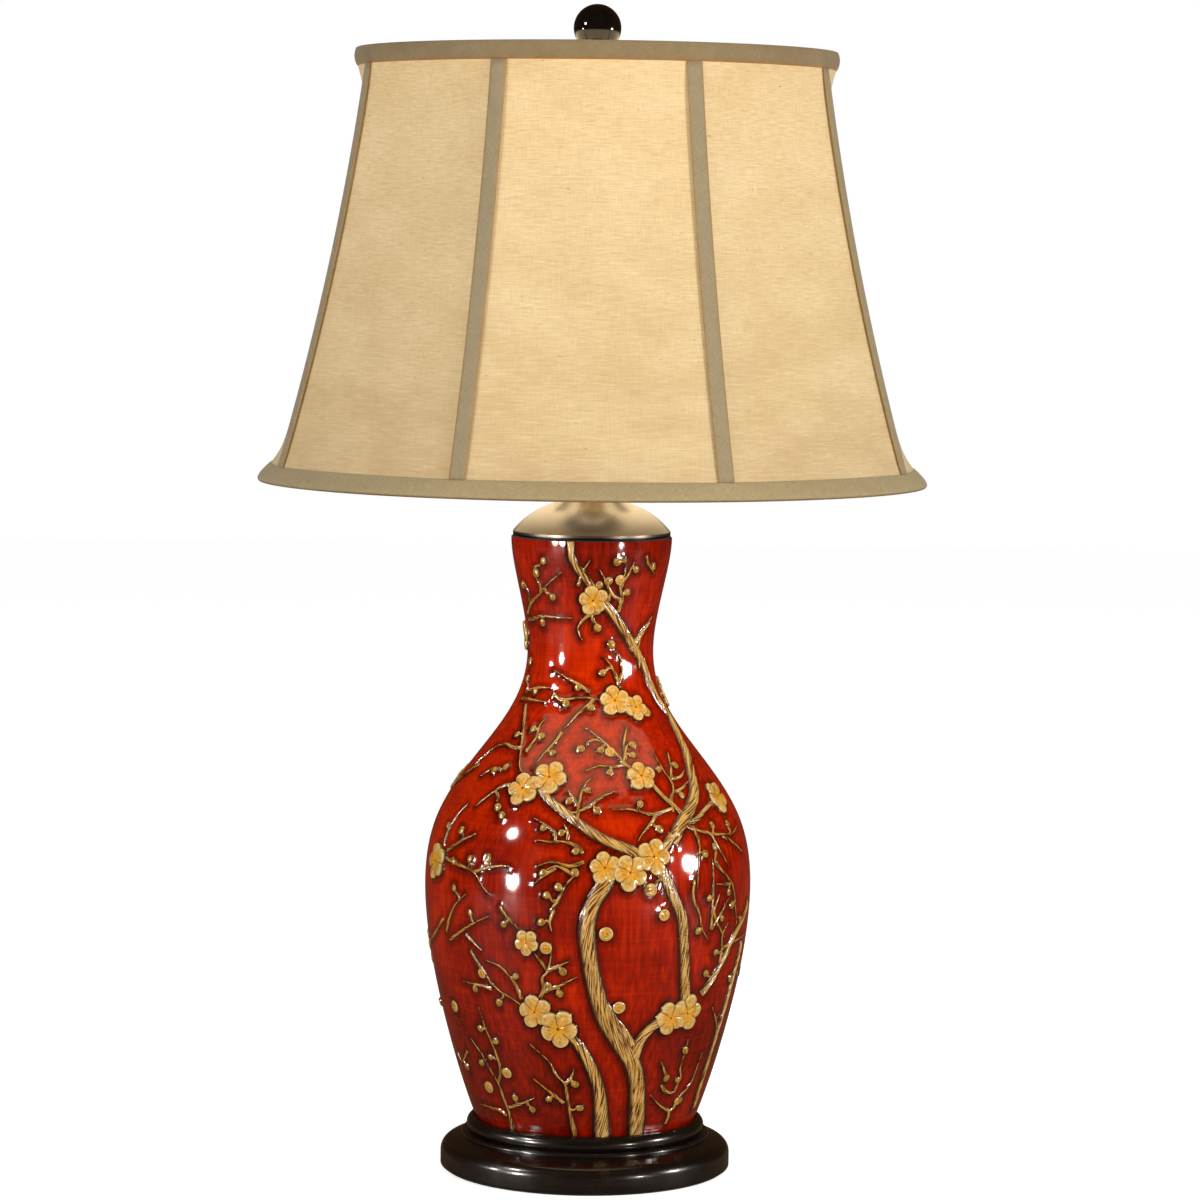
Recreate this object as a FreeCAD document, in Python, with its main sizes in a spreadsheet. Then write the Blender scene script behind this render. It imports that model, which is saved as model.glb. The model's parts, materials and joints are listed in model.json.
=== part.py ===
import FreeCAD, Part
import math
import os
import re
from collections import namedtuple

import Sketcher
from FreeCAD import Placement, Rotation, Vector

# Table lamp, in millimetres: a glazed porcelain vase on a turned wooden base, a spun metal
# cap, a socket with its bulb, a harp, and an eight-panel bell shade under a ball finial.
# The origin is on the table under the lamp's axis, +Z is up and the front faces -Y.

SIZES = {
    # running clearance of a turned fit, gap between cloth and what it covers
    "play": 0.05,
    "cloth_gap": 0.15,
    # felt ring under the base
    "felt_thickness": 1.5,
    "felt_outer_radius": 97.0,
    "felt_inner_radius": 36.0,
    # turned wooden base: heights count from its underside
    "base_radius": 100.0,
    "base_height": 34.5,
    "base_shoulder": 16.0,
    "base_round": 9.0,
    "base_edge": 1.2,
    "bead_radius": 85.2,
    "bead_foot": 21.3,
    "bead_height": 2.9,
    "bead_bulge": 1.3,
    "bead_lean": 2.0,
    "torus_radius": 80.4,
    "torus_foot": 24.5,
    "torus_bulge": 3.0,
    "seat_depth": 3.0,
    "seat_gap": 0.6,
    "seat_flare": 1.2,
    "rod_hole_radius": 5.5,
    "nut_well_radius": 20.0,
    "nut_well_depth": 12.5,
    # way in for the lead, at the back of the base
    "inlet_height": 6.0,
    "inlet_radius": 3.6,
    "bushing_wall": 1.0,
    "bushing_length": 14.0,
    "bushing_flange": 1.3,
    "bushing_flange_thickness": 1.2,
    # threaded rod that clamps the stack, with its nuts and washer
    "rod_radius": 5.0,
    "rod_bore_radius": 3.25,
    "rod_below_nut": 2.4,
    "rod_into_socket": 8.0,
    "nut_flats": 14.0,
    "nut_height": 5.0,
    "washer_radius": 18.0,
    "washer_thickness": 1.6,
    # porcelain vase: the outline is a spline, and these are its control points,
    # radius from the axis, and height over the foot or drop from the rim
    "vase_height": 402.5,
    "vase_wall": 5.0,
    "vase_floor": 7.0,
    "vase_drain_radius": 8.0,
    "foot_radius": 75.7,
    "heel_radius": 84.3,
    "heel_height": 21.6,
    "flank_radius": 98.2,
    "flank_height": 67.5,
    "belly_radius": 112.8,
    "belly_height": 134.8,
    "shoulder_radius": 114.0,
    "shoulder_drop": 191.5,
    "slope_radius": 60.1,
    "slope_drop": 132.6,
    "waist_radius": 33.3,
    "waist_drop": 80.3,
    "flare_radius": 55.3,
    "flare_drop": 18.2,
    "rim_radius": 55.1,
    # gaskets under the vase and under the cap
    "foot_gasket_thickness": 1.5,
    "foot_gasket_width": 14.0,
    "foot_gasket_inset": 1.0,
    "rim_gasket_thickness": 1.0,
    "rim_gasket_width": 6.0,
    "rim_gasket_inset": 0.9,
    # spun metal cap
    "cap_sheet": 1.2,
    "cap_radius": 54.0,
    "cap_lip": 3.0,
    "cap_height": 37.0,
    "cap_brow_radius": 32.0,
    "cap_brow_height": 19.6,
    "cap_brow_bulge": 1.8,
    "cap_hollow": 1.1,
    "cap_neck_radius": 8.6,
    "cap_neck_height": 3.2,
    # harp: saddle strap, wire bow with its two arms, locking sleeves and top collar
    "saddle_thickness": 1.5,
    "saddle_width": 12.0,
    "saddle_reach": 28.5,
    "saddle_end": 5.0,
    "post_height": 6.0,
    "harp_wire_radius": 1.6,
    "harp_height": 263.5,
    "harp_knee_height": 36.0,
    "harp_hip_reach": 57.0,
    "harp_hip_height": 84.0,
    "harp_shoulder_reach": 52.0,
    "harp_shoulder_height": 214.0,
    "harp_crown_reach": 22.0,
    "harp_knee_round": 25.0,
    "harp_hip_round": 90.0,
    "harp_shoulder_round": 60.0,
    "harp_crown_round": 26.0,
    "sleeve_wall": 1.5,
    "sleeve_length": 10.0,
    "sleeve_rise": 0.3,
    "collar_radius": 7.0,
    "collar_height": 8.0,
    "collar_socket_depth": 2.6,
    # swivel stud on the harp that the shade stands on
    "swivel_pin_radius": 2.7,
    "swivel_head_radius": 4.4,
    "swivel_head_thickness": 1.5,
    "swivel_flange_radius": 9.0,
    "swivel_flange_thickness": 1.5,
    "swivel_gap": 0.1,
    "stud_radius": 3.1,
    "stud_height": 15.4,
    # lamp socket
    "socket_gap": 0.5,
    "socket_hub_radius": 7.2,
    "socket_hub_height": 9.0,
    "socket_cup_radius": 18.5,
    "socket_cup_height": 26.0,
    "socket_cup_lip": 8.0,
    "socket_cup_round": 3.6,
    "socket_sheet": 0.9,
    "socket_shell_height": 49.0,
    "socket_shell_tuck": 6.0,
    "liner_wall": 1.0,
    "liner_setback": 1.0,
    "socket_core_height": 22.0,
    "screw_shell_radius": 13.3,
    "screw_shell_wall": 0.5,
    "screw_shell_height": 24.0,
    "contact_leaf_radius": 4.0,
    "contact_leaf_height": 1.6,
    "terminal_height": 7.0,
    "terminal_radius": 2.4,
    "terminal_head": 1.1,
    "terminal_reach": 9.0,
    "terminal_notch_width": 6.8,
    "terminal_notch_height": 14.0,
    "set_screw_radius": 1.5,
    "set_screw_length": 5.0,
    # turn switch through the socket's side
    "switch_height": 12.0,
    "switch_window_radius": 2.6,
    "switch_shaft_radius": 1.6,
    "switch_shaft_root": 8.0,
    "switch_shaft_length": 25.0,
    "knob_radius": 4.6,
    "knob_tip_radius": 3.6,
    "knob_start": 20.0,
    "knob_length": 16.0,
    "knob_flute_radius": 0.9,
    "knob_flute_offset": 0.3,
    "knob_flute_length": 12.8,
    # bulb with a medium screw base
    "bulb_seat_gap": 0.2,
    "bulb_tip_radius": 4.6,
    "bulb_tip_flat_radius": 3.2,
    "bulb_tip_height": 1.6,
    "bulb_insulator_height": 5.0,
    "bulb_insulator_radius": 5.6,
    "bulb_cap_radius": 13.1,
    "bulb_cap_height": 20.0,
    "bulb_cap_sheet": 0.4,
    "bulb_thread_depth": 0.4,
    "bulb_radius": 34.0,
    "bulb_length": 135.0,
    "bulb_glass_wall": 0.8,
    "bulb_neck_radius": 12.2,
    "bulb_neck_straight": 4.0,
    "bulb_neck_hollow": 3.7,
    "bulb_stem_radius": 5.5,
    "bulb_stem_tip_radius": 3.8,
    "bulb_stem_flare": 14.5,
    "bulb_stem_height": 58.0,
    # shade frame: radii are those of the cloth's edge
    "shade_top_radius": 162.4,
    "shade_bottom_radius": 227.15,
    "shade_height": 293.0,
    "ring_wire_radius": 2.0,
    "ring_back_top": 0.7,
    "ring_back_bottom": 2.8,
    "rib_wire_radius": 1.5,
    "rib_sag": 6.0,
    "spider_rise": 17.8,
    "spider_hub_radius": 14.0,
    "spider_hub_thickness": 1.6,
    "spider_arm_radius": 1.9,
    "spider_bend": 28.0,
    "finial_washer_radius": 9.5,
    "finial_washer_thickness": 1.0,
    # shade cloth: how full a panel is between its ribs, from 0, straight, to 1, round,
    # low and high in its middle, and how far from the rings it takes to draw in
    "cloth": 0.9,
    "low_fullness": 0.42,
    "high_fullness": 0.16,
    "low_flare": 14.0,
    "low_flare_power": 1.6,
    "high_flare": 22.0,
    "high_flare_power": 2.2,
    "lining_cloth": 0.5,
    "lining_gap": 0.8,
    "lining_fullness": 0.72,
    "seam_gap": 0.15,
    # trims that bind the shade's edges and cover its ribs
    "trim_wall": 1.2,
    "trim_height": 12.4,
    "trim_inner_height": 4.5,
    "trim_round": 1.1,
    "rib_trim_width": 11.2,
    "rib_trim_thickness": 1.2,
    # finial
    "ball_radius": 16.2,
    "ball_flat": 0.7,
    "finial_seat_gap": 0.1,
    "finial_base_height": 19.2,
    "finial_base_radius": 8.4,
    "finial_waist_radius": 6.6,
    "finial_cup_radius": 7.6,
    "finial_foot_height": 3.2,
    "finial_foot_edge": 1.6,
    "finial_foot_bulge": 0.4,
    "finial_cup_drop": 1.0,
    "insert_radius": 5.0,
    "insert_length": 13.6,
    "insert_thread_radius": 3.2,
}

# Heights that follow from the sizes, bottom to top.
LEVELS = {
    "base_foot": "felt_thickness",
    "well_roof": "base_foot + nut_well_depth",
    "rod_foot": "well_roof - washer_thickness - nut_height - rod_below_nut",
    "inlet_level": "base_foot + inlet_height",
    "base_top": "base_foot + base_height",
    "seat_level": "base_top - seat_depth",
    "vase_foot": "seat_level + foot_gasket_thickness",
    "vase_rim": "vase_foot + vase_height",
    "cap_foot": "vase_rim + rim_gasket_thickness",
    "cap_top": "cap_foot + cap_height",
    "saddle_top": "cap_top + saddle_thickness",
    "neck_nut_top": "saddle_top + nut_height",
    "socket_foot": "neck_nut_top + socket_gap",
    "rod_top": "socket_foot + rod_into_socket",
    "shell_foot": "socket_foot + socket_cup_height - socket_shell_tuck",
    "switch_level": "shell_foot + switch_height",
    "core_top": "shell_foot + socket_core_height",
    "bulb_tip": "core_top + contact_leaf_height + bulb_seat_gap",
    "bulb_cap_foot": "bulb_tip + bulb_tip_height + bulb_insulator_height",
    "bulb_neck": "bulb_cap_foot + bulb_cap_height",
    "bulb_middle": "bulb_tip + bulb_length - bulb_radius",
    "harp_top": "saddle_top + harp_height",
    "collar_top": "harp_top + collar_height / 2",
    "swivel_flange": "collar_top + swivel_gap",
    "hub_foot": "swivel_flange + swivel_flange_thickness",
    "washer_foot": "hub_foot + spider_hub_thickness",
    "finial_foot": "washer_foot + finial_washer_thickness + finial_seat_gap",
    "finial_cup": "finial_foot + finial_base_height",
    "ball_middle": "finial_cup + ball_radius - ball_flat",
    "top_ring": "hub_foot + spider_hub_thickness / 2 + spider_rise",
    "panel_top": "top_ring + ring_wire_radius",
    "shade_top": "panel_top + cloth_gap + trim_wall",
    "shade_bottom": "shade_top - shade_height",
    "panel_bottom": "shade_bottom + trim_wall + cloth_gap",
    "bottom_ring": "panel_bottom + ring_wire_radius",
    "panel_rise": "panel_top - panel_bottom",
    "lining_bottom": "bottom_ring + ring_wire_radius + 2 * cloth_gap",
    "lining_top": "top_ring - ring_wire_radius - 2 * spider_arm_radius - 3 * cloth_gap",
    "rib_wire_bottom": "bottom_ring + ring_wire_radius + 2 * play",
    "rib_wire_top": "top_ring - ring_wire_radius - 2 * play",
    "rib_trim_bottom": "shade_bottom + trim_height + cloth_gap",
    "rib_trim_top": "shade_top - trim_height - cloth_gap",
}

# Radii and walls that follow from the sizes.
RADII = {
    "rod_passage_radius": "rod_radius + 4 * play",
    "stud_passage_radius": "stud_radius + 2 * play",
    "seat_radius": "foot_radius + seat_gap",
    "socket_slope": "(socket_cup_height - socket_cup_lip - socket_hub_height)"
                    " / (socket_cup_radius - socket_hub_radius)",
    "socket_slope_sheet": "socket_sheet * sqrt(1 + socket_slope ^ 2)",
    "shell_radius": "socket_cup_radius - socket_sheet - 6 * play",
    "core_radius": "shell_radius - socket_sheet - liner_wall - 6 * play",
    "top_ring_radius": "shade_top_radius - cloth - cloth_gap - ring_wire_radius - ring_back_top",
    "bottom_ring_radius": "shade_bottom_radius - cloth - cloth_gap - ring_wire_radius - ring_back_bottom",
    "ball_flat_radius": "sqrt(ball_radius ^ 2 - (ball_radius - ball_flat) ^ 2)",
}

# Counts, the turns that follow from them, and proportions that no length sets.
RIB_COUNT = 8
RIB_TURN = 180 / RIB_COUNT
HALF_PANEL = f"(180 / {RIB_COUNT}) * 1 deg"
FRONT_TURN = -90.0
PANEL_STATIONS = 13
SPIDER_ARMS = 3
SPIDER_TURN = 90.0
KNOB_FLUTES = 16
BULB_THREADS = 4
THREAD_START = 0.4
THREAD_END = 1.2
GLASS_CHEEK = "38 deg"
HEX_SIDES = 6
POLE_MARK = 2.0

Corner = namedtuple("Corner", "across up round bow", defaults=(None, None))


def rib_radius(level):
    """Radius of the cloth over a rib: a straight rise between the rings, drawn in by the sag."""
    share = f"(({level} - panel_bottom) / panel_rise)"
    straight = f"shade_bottom_radius + (shade_top_radius - shade_bottom_radius) * {share}"
    return f"{straight} - 4 * rib_sag * {share} * (1 - {share})"


def fullness(level):
    """How round the panels are at a level: full at both rings and drawn in between them."""
    share = f"(({level} - panel_bottom) / panel_rise)"
    middle = f"(low_fullness + (high_fullness - low_fullness) * {share})"
    low = f"1 / exp(abs(({level} - panel_bottom) / low_flare) ^ low_flare_power)"
    high = f"1 / exp(abs((panel_top - {level}) / high_flare) ^ high_flare_power)"
    return f"{middle} + (1 - {middle}) * ({low} + {high})"


for station in range(PANEL_STATIONS):
    share = f"{station} / ({PANEL_STATIONS} - 1)"
    LEVELS[f"panel_level_{station}"] = f"panel_bottom + panel_rise * {share}"
    LEVELS[f"lining_level_{station}"] = f"lining_bottom + (lining_top - lining_bottom) * {share}"
    for piece in ("panel", "lining"):
        RADII[f"{piece}_rib_{station}"] = rib_radius(f"{piece}_level_{station}")
        RADII[f"{piece}_fullness_{station}"] = fullness(f"{piece}_level_{station}")
for edge in ("rib_wire_bottom", "rib_wire_top", "rib_trim_bottom", "rib_trim_top"):
    RADII[f"rib_at_{edge}"] = rib_radius(edge)

doc = FreeCAD.newDocument("table_lamp")
sheet = doc.addObject("Spreadsheet::Sheet", "Sizes")
for row, (alias, size) in enumerate(SIZES.items(), start=1):
    sheet.set(f"A{row}", alias)
    sheet.set(f"B{row}", str(size))
    sheet.setAlias(f"B{row}", alias)
doc.recompute()


def formula(text):
    """Spell out which table each named value in a formula comes from."""
    def owner(word):
        name = word.group()
        if name in SIZES:
            return "Sizes." + name
        if name in LEVELS:
            return "Levels." + name
        if name in RADII:
            return "Radii." + name
        return name
    return re.sub(r"[A-Za-z_]\w*", owner, text)


def follow(table, entries):
    """Fill a table of values that follow from the sizes."""
    holder = doc.addObject("App::VarSet", table)
    for name, text in entries.items():
        holder.addProperty("App::PropertyFloat", name, table, "")
        holder.setExpression(name, formula(text))
        doc.recompute()


follow("Levels", LEVELS)
follow("Radii", RADII)


def value(text):
    """The present number of a formula, in millimetres."""
    return float(sheet.evalExpression(formula(text)))


# Bodies and sketches

bodies = {}


def new_body(label, up=None, turn=0.0):
    """A sub-part, set at a height and turned about the lamp's axis."""
    body = doc.addObject("PartDesign::Body", label)
    body.Label = label
    body.Placement = Placement(Vector(0, 0, 0), Rotation(Vector(0, 0, 1), turn))
    if up:
        body.setExpression("Placement.Base.z", formula(up))
    bodies[label] = body
    return body


def new_sketch(body, role, lift=None):
    """A sketch on one of the body's own origin planes, or lifted off it."""
    sketch = body.newObject("Sketcher::SketchObject", body.Label + "_sketch")
    plane = next(item for item in body.Origin.OriginFeatures if item.Role == role)
    sketch.AttachmentSupport = (plane, [""])
    sketch.MapMode = "FlatFace"
    if lift:
        sketch.setExpression("AttachmentOffset.Base.z", formula(lift))
    return sketch


def bind(sketch, constraint, text):
    """Add a sized constraint and tie it to its formula."""
    number = sketch.addConstraint(constraint)
    sketch.setExpression(f"Constraints[{number}]", formula(text))


def pin(sketch, shape, end, across, up):
    """Hold one point of a shape at its distances from the sketch's origin."""
    for kind, text in (("DistanceX", across), ("DistanceY", up)):
        bind(sketch, Sketcher.Constraint(kind, -1, 1, shape, end, value(text)), text)


def draw_circle(sketch, radius, across="0", up="0"):
    """A circle of a named radius about a named point."""
    centre = Vector(value(across), value(up), 0)
    shape = sketch.addGeometry(Part.Circle(centre, Vector(0, 0, 1), value(radius)), False)
    bind(sketch, Sketcher.Constraint("Radius", shape, value(radius)), radius)
    pin(sketch, shape, 3, across, up)


def bow_radius(start, end, bow):
    """Radius of an arc between two corners that rises by bow over its chord."""
    chord = f"(({end.across}) - ({start.across})) ^ 2 + (({end.up}) - ({start.up})) ^ 2"
    return f"abs(({bow}) / 2 + ({chord}) / (8 * ({bow})))"


def draw_arc(sketch, start, crown, end):
    """An arc through three points, kept anticlockwise whichever way it is given."""
    if (crown - start).cross(end - crown).z < 0:
        start, end = end, start
    return sketch.addGeometry(Part.Arc(start, crown, end), False)


def draw_edge(sketch, start, end, bow):
    """A straight edge, or an arc that bulges to the right of its way by bow."""
    if not bow:
        return sketch.addGeometry(Part.LineSegment(start, end), False)
    way = (end - start).normalize()
    crown = (start + end) * 0.5 + Vector(way.y, -way.x, 0) * value(bow)
    return draw_arc(sketch, start, crown, end)


def end_at(sketch, shape, spot):
    """Which end of a drawn edge lies at the spot: 1 its start, 2 its end."""
    drawn = sketch.Geometry[shape]
    near = drawn.StartPoint.distanceToPoint(spot) < drawn.EndPoint.distanceToPoint(spot)
    return 1 if near else 2


def draw_outline(sketch, corners, closed=True):
    """Edges through named corners, anticlockwise, so that a bow above 0 is a bulge."""
    count = len(corners)
    spots = [Vector(value(corner.across), value(corner.up), 0) for corner in corners]
    leave, reach = list(spots), list(spots)
    rounds = {}
    for i, corner in enumerate(corners):
        if corner.round:
            back = (spots[i - 1] - spots[i]).normalize()
            on = (spots[(i + 1) % count] - spots[i]).normalize()
            half = back.getAngle(on) / 2
            radius = value(corner.round)
            reach[i] = spots[i] + back * (radius / math.tan(half))
            leave[i] = spots[i] + on * (radius / math.tan(half))
            crown = spots[i] + (back + on).normalize() * (radius / math.sin(half) - radius)
            rounds[i] = draw_arc(sketch, reach[i], crown, leave[i])
    edges = {}
    for i in range(count if closed else count - 1):
        onward = (i + 1) % count
        edges[i] = draw_edge(sketch, leave[i], reach[onward], corners[i].bow)
        if corners[i].bow:
            text = bow_radius(corners[i], corners[onward], corners[i].bow)
            bind(sketch, Sketcher.Constraint("Radius", edges[i], value(text)), text)
    for i, corner in enumerate(corners):
        before = edges.get((i - 1) % count)
        after = edges.get(i)
        if i in rounds:
            turn = rounds[i]
            spot = sketch.addGeometry(Part.Point(spots[i]), True)
            pin(sketch, spot, 1, corner.across, corner.up)
            for edge, place in ((before, reach[i]), (after, leave[i])):
                sketch.addConstraint(Sketcher.Constraint("PointOnObject", spot, 1, edge))
                ends = (edge, end_at(sketch, edge, place), turn, end_at(sketch, turn, place))
                sketch.addConstraint(Sketcher.Constraint("Tangent", *ends))
            bind(sketch, Sketcher.Constraint("Radius", turn, value(corner.round)), corner.round)
        elif after is None:
            pin(sketch, before, end_at(sketch, before, spots[i]), corner.across, corner.up)
        else:
            pin(sketch, after, end_at(sketch, after, spots[i]), corner.across, corner.up)
            if before is not None:
                ends = (before, end_at(sketch, before, spots[i]), after, end_at(sketch, after, spots[i]))
                sketch.addConstraint(Sketcher.Constraint("Coincident", *ends))


def draw_spline(sketch, poles):
    """A smooth cubic curve shaped by its control points, with a hold on each of them."""
    spots = [Vector(value(across), value(up), 0) for across, up in poles]
    spans = len(spots) - 3
    curve = Part.BSplineCurve()
    repeats = [4] + [1] * (spans - 1) + [4]
    curve.buildFromPolesMultsKnots(spots, repeats, list(range(spans + 1)), False, 3)
    shape = sketch.addGeometry(curve, False)
    first = None
    for i, (across, up) in enumerate(poles):
        handle = sketch.addGeometry(Part.Circle(spots[i], Vector(0, 0, 1), POLE_MARK), True)
        if first is None:
            first = handle
            sketch.addConstraint(Sketcher.Constraint("Weight", handle, 1.0))
        else:
            sketch.addConstraint(Sketcher.Constraint("Equal", first, handle))
        kind = "InternalAlignment:Sketcher::BSplineControlPoint"
        sketch.addConstraint(Sketcher.Constraint(kind, handle, 3, shape, i))
        pin(sketch, handle, 3, across, up)
    return shape


def draw_polygon(sketch, flats, sides=HEX_SIDES):
    """A regular polygon about the origin, by the distance across its flats."""
    corners = []
    for i in range(sides):
        angle = f"(360 * {i} / {sides}) * 1 deg"
        reach = f"({flats}) / (2 * cos(180 deg / {sides}))"
        corners.append(Corner(f"{reach} * cos({angle})", f"{reach} * sin({angle})"))
    draw_outline(sketch, corners)


# Features

def revolve(body, sketch):
    """Turn a half outline about the body's upright axis."""
    feature = body.newObject("PartDesign::Revolution", body.Label + "_turned")
    feature.Profile = sketch
    feature.ReferenceAxis = (sketch, ["V_Axis"])
    feature.Angle = 360
    return feature


def pad(body, sketch, length, centred=False):
    """Raise a sketch by a named length."""
    feature = body.newObject("PartDesign::Pad", body.Label + "_pad")
    feature.Profile = sketch
    feature.Length = value(length)
    feature.setExpression("Length", formula(length))
    feature.Midplane = centred
    return feature


def pocket(body, sketch, length=None, forward=False):
    """Cut a sketch to a named depth, or right through."""
    feature = body.newObject("PartDesign::Pocket", body.Label + "_pocket")
    feature.Profile = sketch
    if length:
        feature.Length = value(length)
        feature.setExpression("Length", formula(length))
    else:
        feature.Type = 1
    feature.Reversed = forward
    return feature


def pipe(body, section, path):
    """Carry a section along a path."""
    feature = body.newObject("PartDesign::AdditivePipe", body.Label + "_pipe")
    feature.Profile = section
    feature.Spine = (path, [""])
    return feature


def loft(body, sections):
    """Span a solid through a row of sections."""
    feature = body.newObject("PartDesign::AdditiveLoft", body.Label + "_loft")
    feature.Profile = sections[0]
    feature.Sections = sections[1:]
    feature.Ruled = False
    return feature


def ring_round(body, feature, count, sketch):
    """Repeat a feature evenly about the lamp's axis."""
    doc.recompute()
    pattern = body.newObject("PartDesign::PolarPattern", body.Label + "_pattern")
    pattern.Originals = [feature]
    pattern.Axis = (sketch, ["N_Axis"])
    pattern.Angle = 360
    pattern.Occurrences = count
    body.Tip = pattern
    return pattern


def turned(label, corners, up=None):
    """A turned piece from its half outline."""
    body = new_body(label, up)
    sketch = new_sketch(body, "XZ_Plane")
    draw_outline(sketch, corners)
    revolve(body, sketch)
    return body


def tube(label, outer, inner, low, high):
    """A plain turned ring or sleeve between two heights."""
    return turned(label, (
        Corner(inner, low),
        Corner(outer, low),
        Corner(outer, high),
        Corner(inner, high),
    ))


def hex_nut(label, up):
    """A hexagon nut on the threaded rod."""
    body = new_body(label, up)
    sketch = new_sketch(body, "XY_Plane")
    draw_polygon(sketch, "nut_flats")
    draw_circle(sketch, "rod_radius + play")
    pad(body, sketch, "nut_height")
    return body


# Base

def make_felt():
    tube("base_felt", "felt_outer_radius", "felt_inner_radius", "0", "felt_thickness")


def make_base():
    body = turned("turned_base", (
        Corner("rod_hole_radius", "nut_well_depth"),
        Corner("nut_well_radius", "nut_well_depth"),
        Corner("nut_well_radius", "0"),
        Corner("base_radius", "0", "base_edge"),
        Corner("base_radius", "base_shoulder", "base_round"),
        Corner("bead_radius", "bead_foot", None, "bead_bulge"),
        Corner("bead_radius - bead_lean", "bead_foot + bead_height"),
        Corner("torus_radius", "torus_foot", None, "torus_bulge"),
        Corner("seat_radius + seat_flare", "base_height"),
        Corner("seat_radius", "base_height - seat_depth"),
        Corner("rod_hole_radius", "base_height - seat_depth"),
    ), "base_foot")
    channel = new_sketch(body, "XZ_Plane")
    draw_circle(channel, "inlet_radius + bushing_wall + play", "0", "inlet_height")
    pocket(body, channel)


def make_bushing():
    body = new_body("cord_bushing", "inlet_level")
    flange = new_sketch(body, "XZ_Plane", "-base_radius - bushing_flange_thickness")
    draw_circle(flange, "inlet_radius + bushing_wall + bushing_flange")
    pad(body, flange, "bushing_flange_thickness")
    barrel = new_sketch(body, "XZ_Plane", "-base_radius")
    draw_circle(barrel, "inlet_radius + bushing_wall")
    pad(body, barrel, "bushing_length")
    bore = new_sketch(body, "XZ_Plane")
    draw_circle(bore, "inlet_radius")
    pocket(body, bore)


def make_rod():
    tube("threaded_rod", "rod_radius", "rod_bore_radius", "rod_foot", "rod_top")
    tube("base_washer", "washer_radius", "rod_radius + play", "well_roof - washer_thickness", "well_roof")
    hex_nut("base_nut", "well_roof - washer_thickness - nut_height")
    hex_nut("neck_nut", "saddle_top")


# Vase and cap

VASE_POLES = (
    ("foot_radius", "0"),
    ("heel_radius", "heel_height"),
    ("flank_radius", "flank_height"),
    ("belly_radius", "belly_height"),
    ("shoulder_radius", "vase_height - shoulder_drop"),
    ("slope_radius", "vase_height - slope_drop"),
    ("waist_radius", "vase_height - waist_drop"),
    ("flare_radius", "vase_height - flare_drop"),
    ("rim_radius", "vase_height"),
)


def make_vase():
    body = new_body("vase", "vase_foot")
    wall = new_sketch(body, "XZ_Plane")
    outside = draw_spline(wall, VASE_POLES)
    inside = draw_spline(wall, [(f"{across} - vase_wall", up) for across, up in VASE_POLES])
    for end, up in ((1, "0"), (2, "vase_height")):
        outer = "foot_radius" if end == 1 else "rim_radius"
        start = Vector(value(outer), value(up), 0)
        stop = Vector(value(outer + " - vase_wall"), value(up), 0)
        edge = wall.addGeometry(Part.LineSegment(start, stop), False)
        wall.addConstraint(Sketcher.Constraint("Coincident", edge, 1, outside, end))
        wall.addConstraint(Sketcher.Constraint("Coincident", edge, 2, inside, end))
    revolve(body, wall)
    floor = new_sketch(body, "XY_Plane")
    draw_circle(floor, "foot_radius - vase_wall / 4")
    draw_circle(floor, "vase_drain_radius")
    pad(body, floor, "vase_floor")


def make_gaskets():
    edge = "foot_radius - foot_gasket_inset"
    tube("foot_gasket", edge, f"{edge} - foot_gasket_width", "seat_level", "vase_foot")
    edge = "rim_radius - rim_gasket_inset"
    tube("rim_gasket", edge, f"{edge} - rim_gasket_width", "vase_rim", "cap_foot")


def make_cap():
    turned("vase_cap", (
        Corner("cap_radius - cap_sheet", "0"),
        Corner("cap_radius", "0"),
        Corner("cap_radius", "cap_lip", None, "cap_brow_bulge"),
        Corner("cap_brow_radius", "cap_brow_height", None, "-cap_hollow"),
        Corner("cap_neck_radius", "cap_height - cap_neck_height"),
        Corner("cap_neck_radius", "cap_height"),
        Corner("rod_passage_radius", "cap_height"),
        Corner("rod_passage_radius", "cap_height - cap_sheet"),
        Corner("cap_neck_radius - cap_sheet", "cap_height - cap_sheet"),
        Corner("cap_neck_radius - cap_sheet", "cap_height - cap_neck_height - cap_sheet", None, "cap_hollow"),
        Corner("cap_brow_radius - cap_sheet / 2", "cap_brow_height - cap_sheet", None, "-cap_brow_bulge"),
        Corner("cap_radius - cap_sheet", "cap_lip"),
    ), "cap_foot")


# Harp

def make_saddle():
    body = new_body("harp_saddle", "cap_top")
    strap = new_sketch(body, "XY_Plane")
    reach = "saddle_reach + saddle_end"
    draw_outline(strap, (
        Corner(f"-({reach})", "-saddle_width / 2", "saddle_end"),
        Corner(reach, "-saddle_width / 2", "saddle_end"),
        Corner(reach, "saddle_width / 2", "saddle_end"),
        Corner(f"-({reach})", "saddle_width / 2", "saddle_end"),
    ))
    draw_circle(strap, "rod_passage_radius")
    pad(body, strap, "saddle_thickness")
    posts = new_sketch(body, "XY_Plane", "saddle_thickness / 2")
    for side in ("saddle_reach", "-saddle_reach"):
        draw_circle(posts, "harp_wire_radius", side)
    pad(body, posts, "saddle_thickness / 2 + post_height")


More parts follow.
